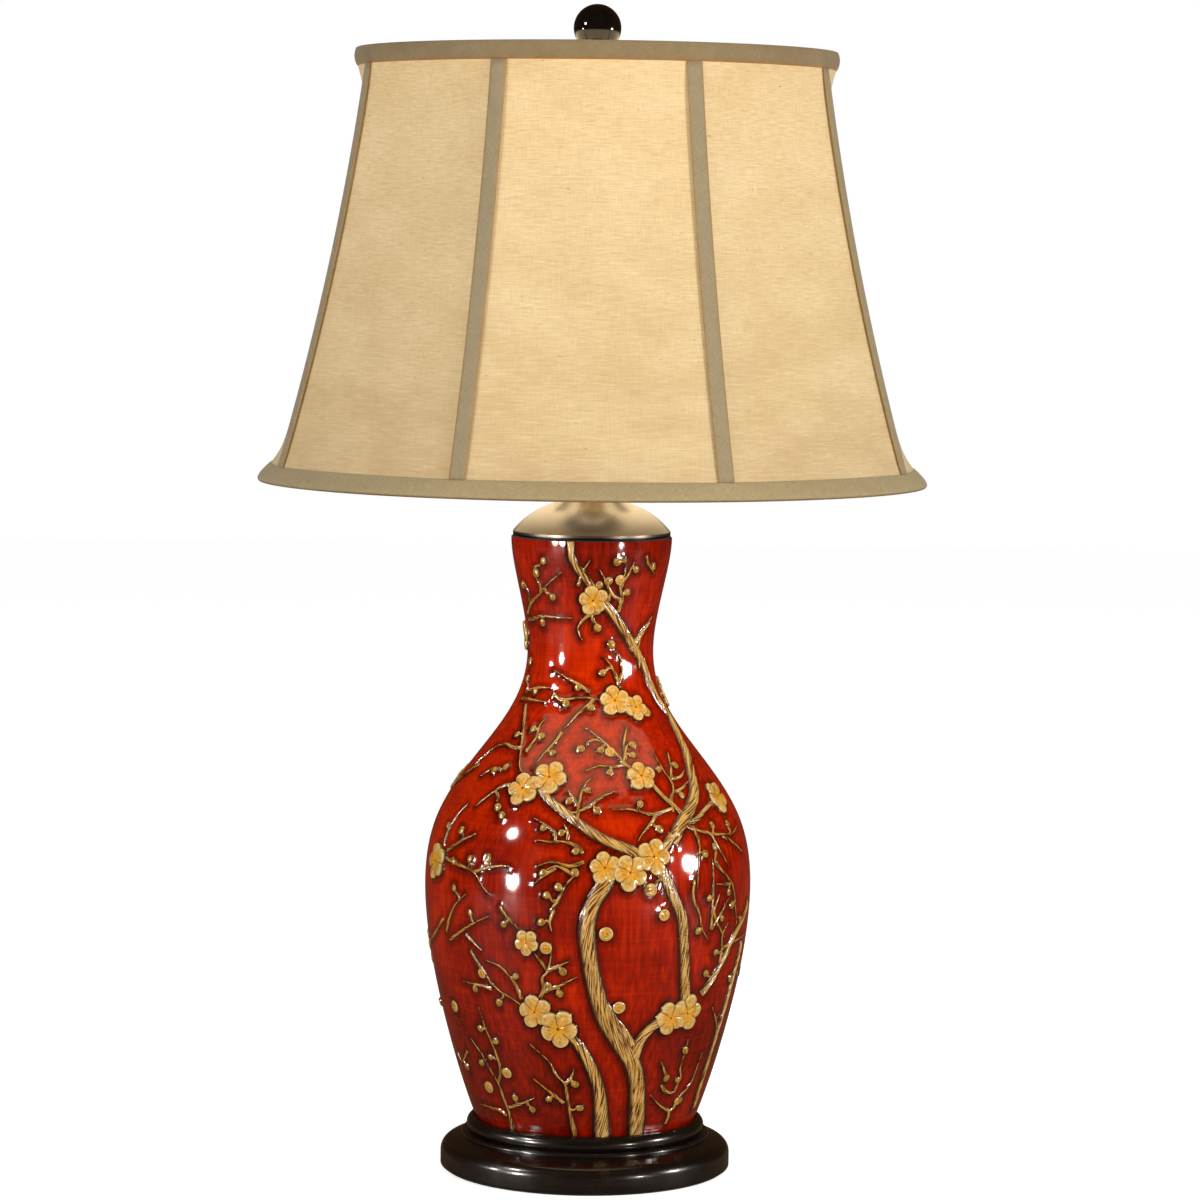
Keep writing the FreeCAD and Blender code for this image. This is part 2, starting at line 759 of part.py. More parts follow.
def make_harp_arm(label, side):
    """One wire arm, from its post on the saddle up to the collar; side is 1 or -1."""
    body = new_body(label, "saddle_top")
    path = new_sketch(body, "XZ_Plane")
    route = (
        Corner(f"{side} * saddle_reach", "post_height"),
        Corner(f"{side} * saddle_reach", "harp_knee_height", "harp_knee_round"),
        Corner(f"{side} * harp_hip_reach", "harp_hip_height", "harp_hip_round"),
        Corner(f"{side} * harp_shoulder_reach", "harp_shoulder_height", "harp_shoulder_round"),
        Corner(f"{side} * harp_crown_reach", "harp_height", "harp_crown_round"),
        Corner(f"{side} * (collar_radius - collar_socket_depth + play)", "harp_height"),
    )
    draw_outline(path, route, closed=False)
    section = new_sketch(body, "XY_Plane", "post_height")
    draw_circle(section, "harp_wire_radius", f"{side} * saddle_reach")
    pipe(body, section, path)


def make_sleeve(label, side):
    """Locking sleeve round the foot of a harp arm."""
    body = new_body(label, "saddle_top + sleeve_rise")
    sketch = new_sketch(body, "XY_Plane")
    draw_circle(sketch, "harp_wire_radius + play + sleeve_wall", f"{side} * saddle_reach")
    draw_circle(sketch, "harp_wire_radius + play", f"{side} * saddle_reach")
    pad(body, sketch, "sleeve_length")


def make_collar():
    body = tube("harp_collar", "collar_radius", "swivel_pin_radius + play",
                "harp_top - collar_height / 2", "collar_top")
    for side in (1, -1):
        mouth = new_sketch(body, "YZ_Plane", f"{side} * collar_radius")
        draw_circle(mouth, "harp_wire_radius + play", "0", "harp_top")
        pocket(body, mouth, "collar_socket_depth", forward=side < 0)


def make_swivel():
    head = "-(swivel_flange_thickness + collar_height + 3 * swivel_gap)"
    turned("shade_swivel", (
        Corner("0", f"{head} - swivel_head_thickness"),
        Corner("swivel_head_radius", f"{head} - swivel_head_thickness"),
        Corner("swivel_head_radius", head),
        Corner("swivel_pin_radius", head),
        Corner("swivel_pin_radius", "-swivel_flange_thickness"),
        Corner("swivel_flange_radius", "-swivel_flange_thickness"),
        Corner("swivel_flange_radius", "0"),
        Corner("stud_radius", "0"),
        Corner("stud_radius", "stud_height"),
        Corner("0", "stud_height"),
    ), "hub_foot")


# Socket and switch

def make_socket():
    cap = turned("socket_cap", (
        Corner("rod_radius + play", "0"),
        Corner("socket_hub_radius", "0"),
        Corner("socket_hub_radius", "socket_hub_height"),
        Corner("socket_cup_radius", "socket_cup_height - socket_cup_lip", "socket_cup_round"),
        Corner("socket_cup_radius", "socket_cup_height"),
        Corner("socket_cup_radius - socket_sheet", "socket_cup_height"),
        Corner("socket_cup_radius - socket_sheet", "socket_cup_height - socket_cup_lip"
               " + socket_slope_sheet - socket_sheet * socket_slope", "socket_cup_round - socket_sheet"),
        Corner("socket_hub_radius", "socket_hub_height + socket_slope_sheet"),
        Corner("rod_radius + play", "socket_hub_height + socket_slope_sheet"),
    ), "socket_foot")
    screw_hole = new_sketch(cap, "YZ_Plane")
    draw_circle(screw_hole, "set_screw_radius + play", "0", "socket_hub_height / 2")
    pocket(cap, screw_hole, forward=True)
    shell = tube("socket_shell", "shell_radius", "shell_radius - socket_sheet",
                 "shell_foot", "shell_foot + socket_shell_height")
    liner = tube("socket_liner", "shell_radius - socket_sheet - 3 * play",
                 "shell_radius - socket_sheet - 3 * play - liner_wall",
                 "shell_foot", "shell_foot + socket_shell_height - liner_setback")
    for body in (shell, liner):
        window = new_sketch(body, "XZ_Plane")
        draw_circle(window, "switch_window_radius", "0", "switch_level")
        pocket(body, window, forward=True)
    core = turned("socket_core", (
        Corner("0", "shell_foot"),
        Corner("core_radius", "shell_foot"),
        Corner("core_radius", "core_top"),
        Corner("0", "core_top"),
    ))
    shaft_hole = new_sketch(core, "XZ_Plane", "switch_shaft_root")
    draw_circle(shaft_hole, "switch_shaft_radius + play", "0", "switch_level")
    pocket(core, shaft_hole, forward=True)
    for left, right in (("-shell_radius", "-terminal_reach"), ("terminal_reach", "shell_radius")):
        notch = new_sketch(core, "XY_Plane", "shell_foot")
        draw_outline(notch, (
            Corner(left, "-terminal_notch_width / 2"),
            Corner(right, "-terminal_notch_width / 2"),
            Corner(right, "terminal_notch_width / 2"),
            Corner(left, "terminal_notch_width / 2"),
        ))
        pocket(core, notch, "terminal_notch_height", forward=True)
    turned("screw_shell", (
        Corner("screw_shell_radius", "0"),
        Corner("screw_shell_radius + screw_shell_wall", "0"),
        Corner("screw_shell_radius + screw_shell_wall", "screw_shell_height"),
        Corner("screw_shell_radius", "screw_shell_height"),
    ), "core_top")
    turned("centre_contact", (
        Corner("0", "0"),
        Corner("contact_leaf_radius", "0"),
        Corner("contact_leaf_radius", "contact_leaf_height / 2"),
        Corner("contact_leaf_radius / 2", "contact_leaf_height"),
        Corner("0", "contact_leaf_height"),
    ), "core_top")


def make_terminal_screws():
    body = new_body("terminal_screws", "shell_foot + terminal_height")
    body.AllowCompound = True
    head = new_sketch(body, "YZ_Plane", "terminal_reach + play")
    draw_circle(head, "terminal_radius")
    feature = pad(body, head, "terminal_head")
    axis = new_sketch(body, "XY_Plane")
    ring_round(body, feature, 2, axis)


def make_set_screw():
    body = new_body("socket_set_screw", "socket_foot + socket_hub_height / 2")
    sketch = new_sketch(body, "YZ_Plane", "rod_radius + 2 * play")
    draw_circle(sketch, "set_screw_radius")
    pad(body, sketch, "set_screw_length")


def make_switch():
    shaft = new_body("switch_shaft", "switch_level")
    section = new_sketch(shaft, "XZ_Plane", "switch_shaft_root + play")
    draw_circle(section, "switch_shaft_radius")
    pad(shaft, section, "switch_shaft_length")
    knob = new_body("switch_knob", "switch_level")
    wide = new_sketch(knob, "XZ_Plane", "knob_start")
    draw_circle(wide, "knob_radius")
    narrow = new_sketch(knob, "XZ_Plane", "knob_start + knob_length")
    draw_circle(narrow, "knob_tip_radius")
    loft(knob, [wide, narrow])
    flute = new_sketch(knob, "XZ_Plane", "knob_start")
    draw_circle(flute, "knob_flute_radius", "knob_radius + knob_flute_offset")
    cut = pocket(knob, flute, "knob_flute_length", forward=True)
    ring_round(knob, cut, KNOB_FLUTES, flute)
    bore = new_sketch(knob, "XZ_Plane", "knob_start")
    draw_circle(bore, "switch_shaft_radius + play")
    pocket(knob, bore, "switch_shaft_root + switch_shaft_length + 2 * play - knob_start", forward=True)


# Bulb

def make_bulb():
    turned("bulb_contact", (
        Corner("0", "0"),
        Corner("bulb_tip_flat_radius", "0"),
        Corner("bulb_tip_radius", "bulb_tip_height"),
        Corner("0", "bulb_tip_height"),
    ), "bulb_tip")
    turned("bulb_insulator", (
        Corner("0", "0"),
        Corner("bulb_insulator_radius", "0"),
        Corner("bulb_cap_radius - 2 * bulb_thread_depth", "bulb_insulator_height"),
        Corner("0", "bulb_insulator_height"),
    ), "bulb_tip + bulb_tip_height")
    outside = [Corner("bulb_cap_radius - bulb_thread_depth", "0")]
    pitch = f"bulb_cap_height / ({BULB_THREADS} + 1)"
    for turn in range(BULB_THREADS):
        crest = f"{pitch} * ({turn} + {THREAD_START})"
        outside.append(Corner("bulb_cap_radius - bulb_thread_depth", crest, None, "bulb_thread_depth"))
        trough = f"{pitch} * ({turn} + {THREAD_END})"
        outside.append(Corner("bulb_cap_radius - bulb_thread_depth", trough))
    turned("bulb_cap", (
        Corner("0", "0"),
        *outside,
        Corner("bulb_cap_radius - bulb_thread_depth", "bulb_cap_height"),
        Corner("bulb_neck_radius + play", "bulb_cap_height"),
        Corner("bulb_neck_radius + play", "bulb_cap_sheet"),
        Corner("0", "bulb_cap_sheet"),
    ), "bulb_cap_foot")
    glass_foot = "bulb_cap_foot + 2 * bulb_cap_sheet"
    neck_top = "bulb_neck + bulb_neck_straight"
    across = f"cos({GLASS_CHEEK})"
    down = f"sin({GLASS_CHEEK})"
    ball_rise = f"(1 - cos((90 deg + {GLASS_CHEEK}) / 2))"
    inner = "(bulb_radius - bulb_glass_wall)"
    turned("bulb_glass", (
        Corner("bulb_neck_radius - bulb_glass_wall", glass_foot),
        Corner("bulb_neck_radius", glass_foot),
        Corner("bulb_neck_radius", neck_top, None, "-bulb_neck_hollow"),
        Corner(f"bulb_radius * {across}", f"bulb_middle - bulb_radius * {down}",
               None, f"bulb_radius * {ball_rise}"),
        Corner("0", "bulb_middle + bulb_radius"),
        Corner("0", f"bulb_middle + {inner}", None, f"-{inner} * {ball_rise}"),
        Corner(f"{inner} * {across}", f"bulb_middle - {inner} * {down}", None, "bulb_neck_hollow"),
        Corner("bulb_neck_radius - bulb_glass_wall", neck_top),
    ))
    turned("bulb_stem", (
        Corner("0", "0"),
        Corner("bulb_neck_radius - 2 * bulb_glass_wall", "0"),
        Corner("bulb_stem_radius", "bulb_stem_flare"),
        Corner("bulb_stem_tip_radius", "bulb_stem_height"),
        Corner("0", "bulb_stem_height"),
    ), glass_foot)


# Shade frame

def make_rings():
    for label, radius, up in (("shade_top_ring", "top_ring_radius", "top_ring"),
                              ("shade_bottom_ring", "bottom_ring_radius", "bottom_ring")):
        body = new_body(label, up)
        sketch = new_sketch(body, "XZ_Plane")
        draw_circle(sketch, "ring_wire_radius", radius)
        revolve(body, sketch)


def make_rib_wires():
    body = new_body("shade_rib_wires", turn=RIB_TURN)
    body.AllowCompound = True
    inset = "cloth - cloth_gap - rib_wire_radius"
    path = new_sketch(body, "XZ_Plane")
    bow = "rib_sag * ((rib_wire_top - rib_wire_bottom) / panel_rise) ^ 2"
    draw_outline(path, (
        Corner(f"rib_at_rib_wire_bottom - {inset}", "rib_wire_bottom", None, f"-{bow}"),
        Corner(f"rib_at_rib_wire_top - {inset}", "rib_wire_top"),
    ), closed=False)
    section = new_sketch(body, "XY_Plane", "rib_wire_bottom")
    draw_circle(section, "rib_wire_radius", f"rib_at_rib_wire_bottom - {inset}")
    ring_round(body, pipe(body, section, path), RIB_COUNT, section)


def make_spider():
    body = new_body("shade_spider", "hub_foot", SPIDER_TURN)
    hub = new_sketch(body, "XY_Plane")
    draw_circle(hub, "spider_hub_radius")
    draw_circle(hub, "stud_passage_radius")
    pad(body, hub, "spider_hub_thickness")
    root = "swivel_flange_radius + spider_arm_radius"
    level = "spider_hub_thickness / 2"
    end_up = "top_ring - hub_foot - ring_wire_radius - spider_arm_radius - play"
    path = new_sketch(body, "XZ_Plane")
    draw_outline(path, (
        Corner(root, level),
        Corner("spider_bend", level, "spider_bend"),
        Corner("top_ring_radius - spider_bend", end_up, "spider_bend"),
        Corner("top_ring_radius", end_up),
    ), closed=False)
    section = new_sketch(body, "YZ_Plane", root)
    draw_circle(section, "spider_arm_radius", "0", level)
    ring_round(body, pipe(body, section, path), SPIDER_ARMS, hub)
    tube("finial_washer", "finial_washer_radius", "stud_passage_radius",
         "washer_foot", "washer_foot + finial_washer_thickness")


# Shade cloth and trims

def make_panel(number):
    """One cloth panel, drawn in between its two ribs and full at the rings."""
    body = new_body(f"shade_panel_{number + 1}", turn=number * 2 * RIB_TURN + FRONT_TURN)
    sections = []
    for station in range(PANEL_STATIONS):
        outer = f"panel_rib_{station}"
        inner = f"(panel_rib_{station} - cloth)"
        sketch = new_sketch(body, "XY_Plane", f"panel_level_{station}")
        near = [f"{radius} * cos({HALF_PANEL})" for radius in (outer, inner)]
        side = [f"({radius} * sin({HALF_PANEL}) - seam_gap / 2)" for radius in (outer, inner)]
        rise = [f"panel_fullness_{station} * {radius} * (1 - cos({HALF_PANEL}))"
                for radius in (outer, inner)]
        draw_outline(sketch, (
            Corner(near[0], f"-{side[0]}", None, rise[0]),
            Corner(near[0], side[0]),
            Corner(near[1], side[1], None, f"-{rise[1]}"),
            Corner(near[1], f"-{side[1]}"),
        ))
        sections.append(sketch)
    loft(body, sections)


def make_lining():
    """Round inner lining, just inside the rib wires and the drawn-in panels."""
    body = new_body("shade_lining")
    sections = []
    for station in range(PANEL_STATIONS):
        rise = f"lining_fullness * lining_fullness_{station} * (1 - cos({HALF_PANEL}))"
        radius = f"lining_rib_{station} * (cos({HALF_PANEL}) + {rise}) - cloth - lining_gap"
        sketch = new_sketch(body, "XY_Plane", f"lining_level_{station}")
        draw_circle(sketch, radius)
        draw_circle(sketch, f"{radius} - lining_cloth")
        sections.append(sketch)
    loft(body, sections)


def make_edge_trims():
    leaf = "top_ring_radius - ring_wire_radius - cloth_gap"
    rim = "shade_top_radius + cloth_gap"
    skirt = "rib_at_rib_trim_top + cloth_gap"
    turned("shade_top_trim", (
        Corner(skirt, "-trim_height"),
        Corner(f"{skirt} + trim_wall", "-trim_height"),
        Corner(f"{rim} + trim_wall", "0", "trim_round"),
        Corner(f"{leaf} - trim_wall", "0", "trim_round"),
        Corner(f"{leaf} - trim_wall", "-trim_inner_height"),
        Corner(leaf, "-trim_inner_height"),
        Corner(leaf, "-trim_wall"),
        Corner(rim, "-trim_wall"),
    ), "shade_top")
    leaf = "bottom_ring_radius - ring_wire_radius - cloth_gap"
    rim = "shade_bottom_radius + cloth_gap"
    turned("shade_bottom_trim", (
        Corner(f"{leaf} - trim_wall", "0", "trim_round"),
        Corner(f"{rim} + trim_wall", "0", "trim_round"),
        Corner(f"{rim} + trim_wall", "trim_height"),
        Corner(rim, "trim_height"),
        Corner(rim, "trim_wall"),
        Corner(leaf, "trim_wall"),
        Corner(leaf, "trim_inner_height"),
        Corner(f"{leaf} - trim_wall", "trim_inner_height"),
    ), "shade_bottom")


def make_rib_trim(number):
    """Bias tape over one rib, between the two edge trims."""
    body = new_body(f"rib_trim_{number + 1}", turn=number * 2 * RIB_TURN + RIB_TURN + FRONT_TURN)
    sketch = new_sketch(body, "XZ_Plane")
    under = "+ cloth_gap"
    over = "+ cloth_gap + rib_trim_thickness"
    bow = "rib_sag * ((rib_trim_top - rib_trim_bottom) / panel_rise) ^ 2"
    draw_outline(sketch, (
        Corner(f"rib_at_rib_trim_bottom {under}", "rib_trim_bottom"),
        Corner(f"rib_at_rib_trim_bottom {over}", "rib_trim_bottom", None, f"-{bow}"),
        Corner(f"rib_at_rib_trim_top {over}", "rib_trim_top"),
        Corner(f"rib_at_rib_trim_top {under}", "rib_trim_top", None, bow),
    ))
    pad(body, sketch, "rib_trim_width", centred=True)


# Finial

def make_finial():
    tube("finial_insert", "insert_radius", "insert_thread_radius",
         "finial_foot", "finial_foot + insert_length")
    turned("finial_base", (
        Corner("insert_radius + play", "0"),
        Corner("finial_base_radius", "0"),
        Corner("finial_base_radius", "finial_foot_edge", None, "finial_foot_bulge"),
        Corner("finial_waist_radius", "finial_foot_height"),
        Corner("finial_waist_radius", "finial_base_height - finial_foot_height", None, "-finial_foot_bulge"),
        Corner("finial_cup_radius", "finial_base_height - finial_cup_drop"),
        Corner("finial_cup_radius", "finial_base_height"),
        Corner("0", "finial_base_height"),
        Corner("0", "insert_length + 2 * play"),
        Corner("insert_radius + play", "insert_length + 2 * play"),
    ), "finial_foot")
    low = "ball_flat - ball_radius"
    half_sweep = "(90 deg + asin((ball_radius - ball_flat) / ball_radius)) / 2"
    turned("finial_ball", (
        Corner("0", low),
        Corner("ball_flat_radius", low, None, f"ball_radius * (1 - cos({half_sweep}))"),
        Corner("0", "ball_radius"),
    ), "ball_middle")


def make_lamp():
    make_felt()
    make_base()
    make_bushing()
    make_rod()
    make_vase()
    make_gaskets()
    make_cap()
    make_saddle()
    for side, hand in ((-1, "left"), (1, "right")):
        make_harp_arm(f"harp_arm_{hand}", side)
        make_sleeve(f"harp_sleeve_{hand}", side)
    make_collar()
    make_swivel()
    make_socket()
    make_terminal_screws()
    make_set_screw()
    make_switch()
    make_bulb()
    make_rings()
    make_rib_wires()
    make_spider()
    for number in range(RIB_COUNT):
        make_panel(number)
        make_rib_trim(number)
    make_lining()
    make_edge_trims()
    make_finial()


def check_model():
    """Stop if any object failed or any sub-part has no sound shape."""
    faults = []
    for item in doc.Objects:
        if "Invalid" in item.State or "Error" in item.State:
            faults.append(f"{item.Label}: {item.State}")
        if item.TypeId == "Sketcher::SketchObject" and not item.FullyConstrained:
            faults.append(f"{item.Label}: sketch not fully constrained")
    for label, body in bodies.items():
        if body.Shape.isNull() or not body.Shape.isValid() or not body.Shape.Solids:
            faults.append(f"{label}: no sound shape")
    if faults:
        raise RuntimeError("\n".join(faults))


make_lamp()
doc.recompute()
check_model()
os.makedirs("parts", exist_ok=True)
for label, body in bodies.items():
    body.Shape.exportStep(os.path.join("parts", label + ".step"))
    box = body.Shape.BoundBox
    print(f"{label:20} {len(body.Shape.Solids)} solid, z {box.ZMin:7.2f} to {box.ZMax:7.2f},"
          f" volume {body.Shape.Volume / 1000:9.3f} cm3")
print(len(bodies), "sub-parts")
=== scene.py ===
"""Table lamp: a glazed vase with gilt relief boughs on a turned base, a metal cap, a harp with
socket and bulb, and a bell shade of eight cloth panels under a black ball finial."""
import json
import math
import random
from collections import namedtuple

import bmesh
import bpy
from mathutils import Matrix, Vector


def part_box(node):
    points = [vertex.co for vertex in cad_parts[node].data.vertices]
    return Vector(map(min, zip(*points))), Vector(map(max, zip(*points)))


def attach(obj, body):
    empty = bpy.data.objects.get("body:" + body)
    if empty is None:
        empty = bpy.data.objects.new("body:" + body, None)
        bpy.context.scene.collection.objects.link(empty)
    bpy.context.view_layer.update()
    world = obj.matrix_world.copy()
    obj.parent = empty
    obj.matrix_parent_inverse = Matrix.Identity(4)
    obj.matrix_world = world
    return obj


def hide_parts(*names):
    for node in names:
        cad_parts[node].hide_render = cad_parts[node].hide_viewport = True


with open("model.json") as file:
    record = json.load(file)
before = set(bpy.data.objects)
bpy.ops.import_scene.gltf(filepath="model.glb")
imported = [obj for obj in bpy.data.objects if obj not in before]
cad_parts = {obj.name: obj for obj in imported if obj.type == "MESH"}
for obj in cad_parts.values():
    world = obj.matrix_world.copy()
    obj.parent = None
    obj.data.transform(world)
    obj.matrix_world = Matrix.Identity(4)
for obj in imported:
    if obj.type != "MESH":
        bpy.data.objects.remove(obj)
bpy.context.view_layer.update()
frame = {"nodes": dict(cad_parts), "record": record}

MM = 0.001
UP = Vector((0, 0, 1))
FRONT = -math.pi / 2


def new_object(name, data):
    """An object of the scene that holds that data."""
    made = bpy.data.objects.new(name, data)
    bpy.context.scene.collection.objects.link(made)
    return made


# Camera, at the photograph's place

PHOTO_SIDE = 1200
CAMERA_PLACE = Vector((0.0062, -2.9, 0.64))
CAMERA_PITCH = math.radians(85.14)
CAMERA_ROLL = math.radians(0.67)
LENS = 127.2
FILM = 36.0
CAMERA_TURN = Matrix.Rotation(CAMERA_PITCH, 3, "X") @ Matrix.Rotation(CAMERA_ROLL, 3, "Z")


def place_camera():
    data = bpy.data.cameras.new("photo_camera")
    data.lens = LENS
    data.sensor_width = FILM
    camera = new_object("photo_camera", data)
    camera.matrix_world = Matrix.Translation(CAMERA_PLACE) @ CAMERA_TURN.to_4x4()
    bpy.context.scene.camera = camera


def sight_line(column, row):
    """Direction in which the camera sees that pixel of the photograph."""
    reach = LENS / FILM * PHOTO_SIDE
    middle = PHOTO_SIDE / 2
    return (CAMERA_TURN @ Vector(((column - middle) / reach, (middle - row) / reach, -1))).normalized()


place_camera()


# Node trees

class Nodes:
    """Adds nodes to a tree. Inputs that are other nodes' outputs are joined, plain values are set."""

    def __init__(self, tree):
        self.tree = tree

    def give(self, socket, value):
        if isinstance(value, bpy.types.NodeSocket):
            self.tree.links.new(value, socket)
        else:
            socket.default_value = value

    def add(self, kind, inputs=None, out=0, **settings):
        node = self.tree.nodes.new(kind)
        for name, setting in settings.items():
            setattr(node, name, setting)
        for name, value in (inputs or {}).items():
            self.give(node.inputs[name], value)
        return node.outputs[out]

    def math(self, operation, first, second=0.0):
        return self.add("ShaderNodeMath", {0: first, 1: second}, operation=operation)

    def vector(self, operation, first, second=(0, 0, 0)):
        return self.add("ShaderNodeVectorMath", {0: first, 1: second}, operation=operation)

    def times(self, vector, scale):
        return self.add("ShaderNodeVectorMath", {"Vector": vector, "Scale": scale}, operation="SCALE")

    def split(self, vector):
        return self.add("ShaderNodeSeparateXYZ", {"Vector": vector}).node.outputs

    def join(self, across, along, up):
        return self.add("ShaderNodeCombineXYZ", {"X": across, "Y": along, "Z": up})

    def span(self, value, low, high, to_low=0.0, to_high=1.0, smooth=False):
        """The value moved from one range to another, and kept in it."""
        return self.add("ShaderNodeMapRange", {
            "Value": value, "From Min": low, "From Max": high, "To Min": to_low, "To Max": to_high,
        }, interpolation_type="SMOOTHSTEP" if smooth else "LINEAR")

    def noise(self, place, scale=1.0, detail=2.0, rough=0.5):
        return self.add("ShaderNodeTexNoise", {
            "Vector": place, "Scale": scale, "Detail": detail, "Roughness": rough})

    def stretched(self, place, stretch):
        return self.vector("MULTIPLY", place, stretch)


def paint(red, green, blue):
    """Linear colour of a paint chip given as it shows on a screen, 0 to 255."""
    def linear(part):
        share = part / 255
        return share / 12.92 if share <= 0.04045 else ((share + 0.055) / 1.055) ** 2.4
    return (linear(red), linear(green), linear(blue), 1.0)


class Finish(Nodes):
    """A material: constants go on the shader's own sockets."""

    def __init__(self, name, **constants):
        self.material = bpy.data.materials.new(name)
        self.material.use_nodes = True
        super().__init__(self.material.node_tree)
        self.shader = self.tree.nodes["Principled BSDF"]
        for socket, value in constants.items():
            self.shader.inputs[socket.replace("_", " ")].default_value = value
        self.place = self.add("ShaderNodeTexCoord", out="Object")

    def colour(self, value):
        self.give(self.shader.inputs["Base Color"], value)

    def rough(self, value):
        self.give(self.shader.inputs["Roughness"], value)

    def bump(self, height, distance, strength=1.0):
        bumped = self.add("ShaderNodeBump", {"Height": height, "Distance": distance, "Strength": strength})
        self.give(self.shader.inputs["Normal"], bumped)

    def glow(self, colour, strength):
        self.give(self.shader.inputs["Emission Color"], colour)
        self.shader.inputs["Emission Strength"].default_value = strength

    def mix(self, share, first, second):
        return self.add("ShaderNodeMix", {0: share, 6: first, 7: second}, 2, data_type="RGBA")

    def ramp(self, value, *stops):
        """Colour ramp through (place, colour) stops."""
        result = self.add("ShaderNodeValToRGB", {"Fac": value})
        points = result.node.color_ramp.elements
        while len(points) < len(stops):
            points.new(0.5)
        for point, (place, colour) in zip(points, stops):
            point.position = place
            point.color = colour
        return result

    def attribute(self, name, out="Vector"):
        return self.add("ShaderNodeAttribute", out=out, attribute_name=name)

    def flat_map(self):
        return self.add("ShaderNodeUVMap")


# Stage: pale floor, white background, plain soft light

FLOOR_SIDE, FLOOR_LEVEL = 12.0, -0.0003
BACKGROUND_SEEN = 1.0
BACKGROUND_MIRRORED = 0.05
MIRRORED_TINT = (1.0, 0.52, 0.22, 1)
BACKGROUND_LIGHT = 0.34
FLOOR_GLOW = 0.72
FLOOR_SEEN, FLOOR_MIRRORED = (0.86, 0.86, 0.86, 1), (0.17, 0.11, 0.06, 1)

Lamp = namedtuple("Lamp", "name side height far width watts mirrored")

# Sides and heights are angles in degrees, from the camera's side and from the level of the vase's belly, and
# the distances and widths are in metres.
LAMP_AIM = Vector((0, 0, 0.24))
LAMPS = (
    Lamp("key_right", 44, 22, 3.1, 0.7, 50, False),
    Lamp("fill_left", -40, 18, 2.8, 0.9, 25, False),
    Lamp("spot_left", -53, 1, 2.4, 0.38, 30, True),
    Lamp("spot_far_left", -75, 7, 2.4, 0.28, 14, True),
    Lamp("spot_high_left", -62, 29, 2.4, 0.31, 20, True),
    Lamp("spot_far_right", 75, 8, 2.4, 0.37, 28, True),
    Lamp("spot_right", 43, -3, 2.2, 0.22, 9, True),
)
LAMP_COLOUR = (1.0, 0.96, 0.91)


def light_world():
    """White to the camera and through glass. Gloss mirrors a dim warm room, as the photograph's glaze does."""
    world = bpy.data.worlds.new("studio")
    world.use_nodes = True
    bpy.context.scene.world = world
    nodes = Nodes(world.node_tree)
    path = nodes.add("ShaderNodeLightPath").node.outputs
    seen = nodes.math("MAXIMUM", path["Is Camera Ray"], path["Is Transmission Ray"])
    unseen = nodes.span(path["Is Glossy Ray"], 0.0, 1.0, BACKGROUND_LIGHT, BACKGROUND_MIRRORED)
    back = world.node_tree.nodes["Background"]
    nodes.give(back.inputs["Color"], nodes.add("ShaderNodeMix", {
        0: path["Is Glossy Ray"], 6: (1, 1, 1, 1), 7: MIRRORED_TINT}, 2, data_type="RGBA"))
    plain = nodes.math("MULTIPLY", seen, BACKGROUND_SEEN)
    nodes.give(back.inputs["Strength"], nodes.math("MAXIMUM", plain, unseen))


def light_lamps():
    """Round lamps: those that are mirrored make the highlights and the others light the surfaces."""
    for lamp in LAMPS:
        data = bpy.data.lights.new(lamp.name, "AREA")
        data.shape = "DISK"
        data.size = lamp.width
        data.energy = lamp.watts
        data.color = LAMP_COLOUR
        holder = new_object(lamp.name, data)
        holder.visible_glossy = lamp.mirrored
        holder.visible_diffuse = not lamp.mirrored
        side, height = math.radians(lamp.side), math.radians(lamp.height)
        level = math.cos(height)
        away = Vector((math.sin(side) * level, -math.cos(side) * level, math.sin(height))) * lamp.far
        turn = (-away).to_track_quat("-Z", "Y").to_matrix().to_4x4()
        holder.matrix_world = Matrix.Translation(LAMP_AIM + away) @ turn


def lay_floor():
    floor_finish = Finish("pale_floor", Roughness=0.7)
    path = floor_finish.add("ShaderNodeLightPath").node.outputs
    floor_finish.colour(floor_finish.mix(path["Is Glossy Ray"], FLOOR_SEEN, FLOOR_MIRRORED))
    seen = floor_finish.math("MAXIMUM", path["Is Camera Ray"], path["Is Transmission Ray"])
    glow = floor_finish.add("ShaderNodeEmission", {
        "Color": (1, 1, 1, 1), "Strength": floor_finish.math("MULTIPLY", seen, FLOOR_GLOW)})
    both = floor_finish.add("ShaderNodeAddShader", {0: floor_finish.shader.outputs[0], 1: glow})
    output = floor_finish.tree.nodes["Material Output"]
    floor_finish.give(output.inputs["Surface"], both)
    half = FLOOR_SIDE / 2
    corners = [(x, y, FLOOR_LEVEL) for x, y in ((-half, -half), (half, -half), (half, half), (-half, half))]
    mesh = bpy.data.meshes.new("floor")
    mesh.from_pydata(corners, [], [(0, 1, 2, 3)])
    mesh.materials.append(floor_finish.material)
    floor = new_object("floor", mesh)


bpy.context.scene.view_settings.view_transform = "Standard"
light_world()
light_lamps()
lay_floor()


# Finishes

